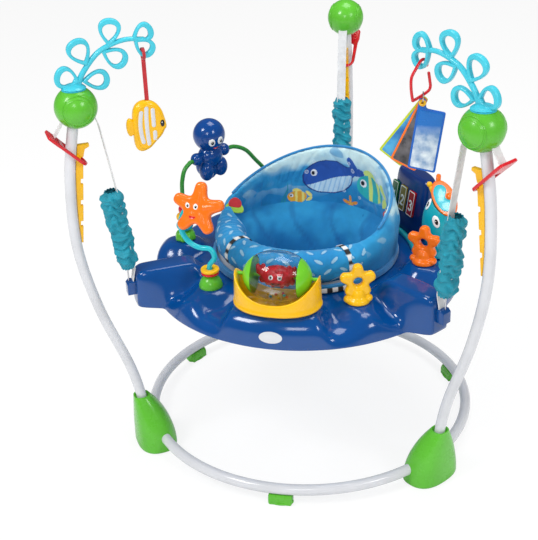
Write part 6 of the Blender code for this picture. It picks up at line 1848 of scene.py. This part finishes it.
def turtle(turn):
    """A turtle's head with an oval window on its brow that lifts on a hinge."""
    a, b, c = TURTLE_RADII
    centre = Vector(TURTLE_AT)
    rings = []
    for i in range(41):
        z = -TURTLE_NECK + (c + TURTLE_NECK) * (i / 40) if i < 40 else c
        round_share = sqrt(max(0.0, 1 - (z / c) ** 2)) if z > -c else 0.0
        share = max(round_share, 0.72 - 0.02 * step(-TURTLE_NECK, -0.03, z)) if z < 0 else round_share
        ring = []
        for t in turns(64):
            p = turn @ Vector((a * max(share, 0.01) * cos(t), b * max(share, 0.01) * sin(t), 0))
            x, y = centre.x + p.x, centre.y + p.y
            floor = tray_height(degrees(atan2(y, x)), hypot(x, y)) + 0.0012
            ring.append((x, y, max(centre.z + z, floor + 0.0005 * i)))
        rings.append(ring)
    head = softened(loft("turtle_head", rings), 4)
    along = Vector((0.0, -0.81, -0.58)).normalized()
    normal = Vector((-0.70, -0.45, 0.63)).normalized()
    across = along.cross(normal).normalized()
    normal = across.cross(along).normalized()
    basis = Matrix((across, along, normal)).transposed().to_4x4()
    window = move(FLAP_AT) @ turn @ basis
    wide = oval_outline(FLAP_RADII[0] + 0.0008, FLAP_RADII[1] + 0.0008)
    recess = slab("recess", wide, 0.09, 0.0002, window @ move((0, 0, 0.045 - FLAP_THICKNESS / 2 - GAP)), 1)
    features = []
    for place, size in TURTLE_EYES:
        outward_ray = (Vector(place) - centre).normalized()
        features += eye("turtle_eye", head, centre + outward_ray * 0.12, -outward_ray, size, "tray_body",
                        (0.12, -0.1), up=(-0.35, 0.0, 1.0), tall=1.75)
    place_features(features, HOME)
    dress(cut(head, recess), TEAL, "tray_body", replaces="console_turtle", sharp=50)
    frame = slab("window_frame", oval_outline(*FLAP_RADII), FLAP_THICKNESS, 0.0028, segments=5)
    lens = slab("window_lens", lens_outline(), 0.0030, 0.0010,
                move((0.0005, 0, FLAP_THICKNESS / 2 - 0.0004)), 3)
    nose = ball("window_nose", (0.0075, 0.0085, 0.0060), (-0.0125, 0.004, FLAP_THICKNESS / 2 - 0.0005),
                around=28, levels=16)
    knob = sweep("window_knob", [(-0.004, -0.040, 0.0), (-0.008, -0.047, 0.001), (-0.011, -0.052, 0.001)],
                 0.0052, 18)
    dress(joined("window_frame", [frame, nose, knob]), ORANGE, "porthole_flap", HOME @ window, "porthole",
          50)
    dress(lens, TURQUOISE, "porthole_flap", HOME @ window)
    button = ball("yellow_knob", (0.0062, 0.0062, 0.0062), (0.2575, 0.0730, 0.5480))
    stem = sweep("knob_stem", [(0.2575, 0.0730, 0.5480), (0.270, 0.066, 0.520)], 0.0040, 16)
    dress(joined("yellow_knob", [button, stem]), YELLOW, "tray_body")
    strip = [polar(CONSOLE_ANGLE + t, 0.2305 + 0.004 * abs(t) / 22,
                   tray_height(CONSOLE_ANGLE + t, 0.2305) + 0.004) for t in np.linspace(-24, 14, 40)]
    dress(sweep("console_edge", strip, 0.0062, 16), TEAL, "tray_body")


def lens_outline():
    """Two rounded lobes side by side, with a notch for the nose."""
    points = [(-0.004, 0.002), (-0.013, 0.014), (-0.011, 0.026), (0.002, 0.033), (0.013, 0.024),
              (0.017, 0.006), (0.017, -0.008),
              (0.013, -0.024), (0.002, -0.033), (-0.011, -0.026), (-0.013, -0.012)]
    return flat_loop(points, 72)


# ---- Trim on tray and seat ----

PLATE_ANGLE, PLATE_HEIGHT = 271.0, 0.3747
PLATE_BENDS = (0.33, 0.060)
CHECK_PITCH = 0.0115


def trim():
    """A bare oval plate on the tray's front, checked piping round the bolster and a cloth flap."""
    tray_mesh = bpy.data.objects["toy_tray"]
    place, normal = surface_point(tray_mesh, CENTRE + polar(PLATE_ANGLE, 0.42, PLATE_HEIGHT),
                                  polar(PLATE_ANGLE + 180, 1.0))
    plate = slab("bare_plate", oval_outline(0.0235, 0.0125, 72), 0.0016, 0.0006)
    bulge(plate)
    dress(plate, WHITE, "tray_body", move(place + normal * 0.0004) @ facing(normal))
    lip = [polar(SEAT_FRONT_ANGLE + a, TRAY_RING_SEAT + 0.0036, FLANGE_TOP - 0.001)
           for a in np.linspace(30, 62, 60)]
    checked(sweep("checked_ribbon_low", lip, 0.0050, 16, flat=0.0012, plane=(0.35, -0.9, 0.1)),
            lambda p: atan2(p.y, p.x) * 0.2)
    for sign, away in ((-1, 24), (1, 62)):
        angle = SEAT_FRONT_ANGLE + sign * away
        section = smooth_loop(seat_section(angle), 60)
        middle = Vector((sum(p.x for p in section) / 60, sum(p.y for p in section) / 60))
        line = [polar(angle, middle.x + (p.x - middle.x) * 1.03, middle.y + (p.y - middle.y) * 1.03)
                for p in section[4:50]]
        across = polar(angle + 90, 1.0)
        checked(ribbon_mesh(f"checked_ribbon_{'left' if sign < 0 else 'right'}", line, 0.0105, 0.0014,
                            across),
                lambda p: atan2(p.z - FLANGE_TOP - 0.037, hypot(p.x, p.y) - middle.x) * BOLSTER_RADIUS)
    flap()


def bulge(obj):
    """Bends a flat plate round the tray's curved front, which has one radius across and one up."""
    across, up = PLATE_BENDS
    for vertex in obj.data.vertices:
        vertex.co.z -= vertex.co.x ** 2 / (2 * across) + vertex.co.y ** 2 / (2 * up)


def checked(obj, measure):
    paint(obj, lambda p: (0.85, 0.86, 0.86) if int((measure(p) + 10) / CHECK_PITCH) % 2
          else (0.02, 0.02, 0.022))
    dress(obj, SEAT_CLOTH, "seat")


def flap():
    """A small cloth tab in two colours on the left end of the bolster."""
    for name, colour, outline in (
            ("flap_leaf", LIME_CLOTH, [(-0.020, 0.0), (-0.014, 0.010), (0.0, 0.014), (0.015, 0.009),
                                       (0.021, -0.004), (0.012, -0.010), (-0.010, -0.009)]),
            ("flap_top", RED_CLOTH, [(-0.014, 0.004), (-0.012, 0.017), (0.0, 0.024), (0.012, 0.017),
                                     (0.014, 0.004), (0.0, 0.001)])):
        shape = slab(name, flat_loop(outline, 60), 0.0045 if name == "flap_top" else 0.0035, 0.0016,
                     segments=4)
        at = polar(172, 0.166, FLANGE_TOP + 2 * BOLSTER_RADIUS + 0.006)
        face = facing(Vector((0.25, -0.80, 0.55)), (0.1, 0.3, 1.0))
        dress(shape, colour, "seat", HOME @ move(at) @ face)


# ---- Stage ----

WORLD_LIGHT, WORLD_REFLECTED, WORLD_SEEN = 0.58, 0.16, 1.0
FLOOR_GLOW, FLOOR_GLOW_SHARE = 1.05, 0.78
LAMPS = (
    ("key_light", (-1.6, -1.9, 2.9), 0.9, 44, (0, 0, 0.4)),
    ("fill_light", (2.3, -1.5, 2.2), 0.8, 20, (0, 0, 0.4)),
    ("front_light", (0.3, -2.8, 2.0), 0.7, 12, (0, 0, 0.4)),
    ("top_light", (0.2, 0.6, 3.2), 1.4, 30, (0, 0, 0.3)),
)


def stage():
    floor_mesh = bpy.data.meshes.new("floor")
    floor_mesh.from_pydata([(-9, -9, 0), (9, -9, 0), (9, 9, 0), (-9, 9, 0)], [], [(0, 1, 2, 3)])
    floor = linked("floor", floor_mesh)
    floor.location.z = -GAP
    pale, tree, shader = shaded("pale_floor", (0.90, 0.90, 0.90), 0.6)
    shader.inputs["Specular IOR Level"].default_value = 0.2
    rays = node(tree, "LightPath")
    bright = node(tree, "Emission", Strength=FLOOR_GLOW)
    share = node(tree, "Math")
    share.operation = "MULTIPLY"
    share.inputs[1].default_value = FLOOR_GLOW_SHARE
    tree.links.new(rays.outputs["Is Camera Ray"], share.inputs[0])
    both = node(tree, "MixShader")
    tree.links.new(share.outputs["Value"], both.inputs["Fac"])
    tree.links.new(shader.outputs["BSDF"], both.inputs[1])
    tree.links.new(bright.outputs["Emission"], both.inputs[2])
    tree.links.new(both.outputs["Shader"], tree.nodes["Material Output"].inputs["Surface"])
    floor.data.materials.append(pale)
    world = bpy.data.worlds.new("studio")
    bpy.context.scene.world = world
    world.use_nodes = True
    sky = world.node_tree
    soft, dim, plain = sky.nodes["Background"], node(sky, "Background"), node(sky, "Background")
    for background, strength in ((soft, WORLD_LIGHT), (dim, WORLD_REFLECTED), (plain, WORLD_SEEN)):
        background.inputs["Color"].default_value = (1.0, 1.0, 1.0, 1.0)
        background.inputs["Strength"].default_value = strength
    paths = node(sky, "LightPath")
    first, second = node(sky, "MixShader"), node(sky, "MixShader")
    for choice, ray, lower, upper in ((first, "Is Glossy Ray", soft.outputs[0], dim.outputs[0]),
                                      (second, "Is Camera Ray", first.outputs[0], plain.outputs[0])):
        sky.links.new(paths.outputs[ray], choice.inputs["Fac"])
        sky.links.new(lower, choice.inputs[1])
        sky.links.new(upper, choice.inputs[2])
    sky.links.new(second.outputs[0], sky.nodes["World Output"].inputs["Surface"])
    for name, place, size, power, target in LAMPS:
        lamp = bpy.data.lights.new(name, "AREA")
        lamp.size = size
        lamp.energy = power
        holder = linked(name, lamp)
        holder.location = place
        holder.rotation_euler = (Vector(target) - Vector(place)).to_track_quat("-Z", "Y").to_euler()


CAMERA_PLACE = (0.53, -2.189, 1.509)
CAMERA_YAW, CAMERA_PITCH, CAMERA_ROLL = 15.68, 27.06, -2.31
CAMERA_LENS = 76.44


def camera():
    """The photograph's viewpoint, about the centre of the base ring."""
    yaw, pitch, roll = radians(CAMERA_YAW), radians(CAMERA_PITCH), radians(CAMERA_ROLL)
    ahead = Vector((-sin(yaw) * cos(pitch), cos(yaw) * cos(pitch), -sin(pitch)))
    right = Vector((cos(yaw), sin(yaw), 0))
    up = right.cross(ahead)
    turned_right = right * cos(roll) + up * sin(roll)
    turned_up = -right * sin(roll) + up * cos(roll)
    lens = bpy.data.cameras.new("photo_camera")
    lens.lens = CAMERA_LENS
    lens.sensor_width = 36.0
    holder = linked("photo_camera", lens)
    rotation = Matrix((turned_right, turned_up, -ahead)).transposed().to_4x4()
    holder.matrix_world = move(Vector(CAMERA_PLACE) + CENTRE) @ rotation
    bpy.context.scene.camera = holder


def main():
    camera()
    stage()
    bpy.context.scene.view_settings.view_transform = "Standard"
    base_and_posts()
    for side, corner in CORNERS.items():
        strap(side, corner)
        rack(side, corner)
        slider(side, corner)
        spring(side, corner)
        sleeve(side, corner)
    tray()
    seat_top()
    seat_pouch()
    seat_trim()
    for side in ("left", "right"):
        leaf_bar(side, CORNERS[side])
    fish(CORNERS["left"])
    link_and_cards(CORNERS["right"])
    cradle()
    globe()
    spiral()
    link_star("link_star_front", YELLOW)
    link_star("link_star_side", ORANGE)
    arch()
    octopus()
    console()
    trim()


main()
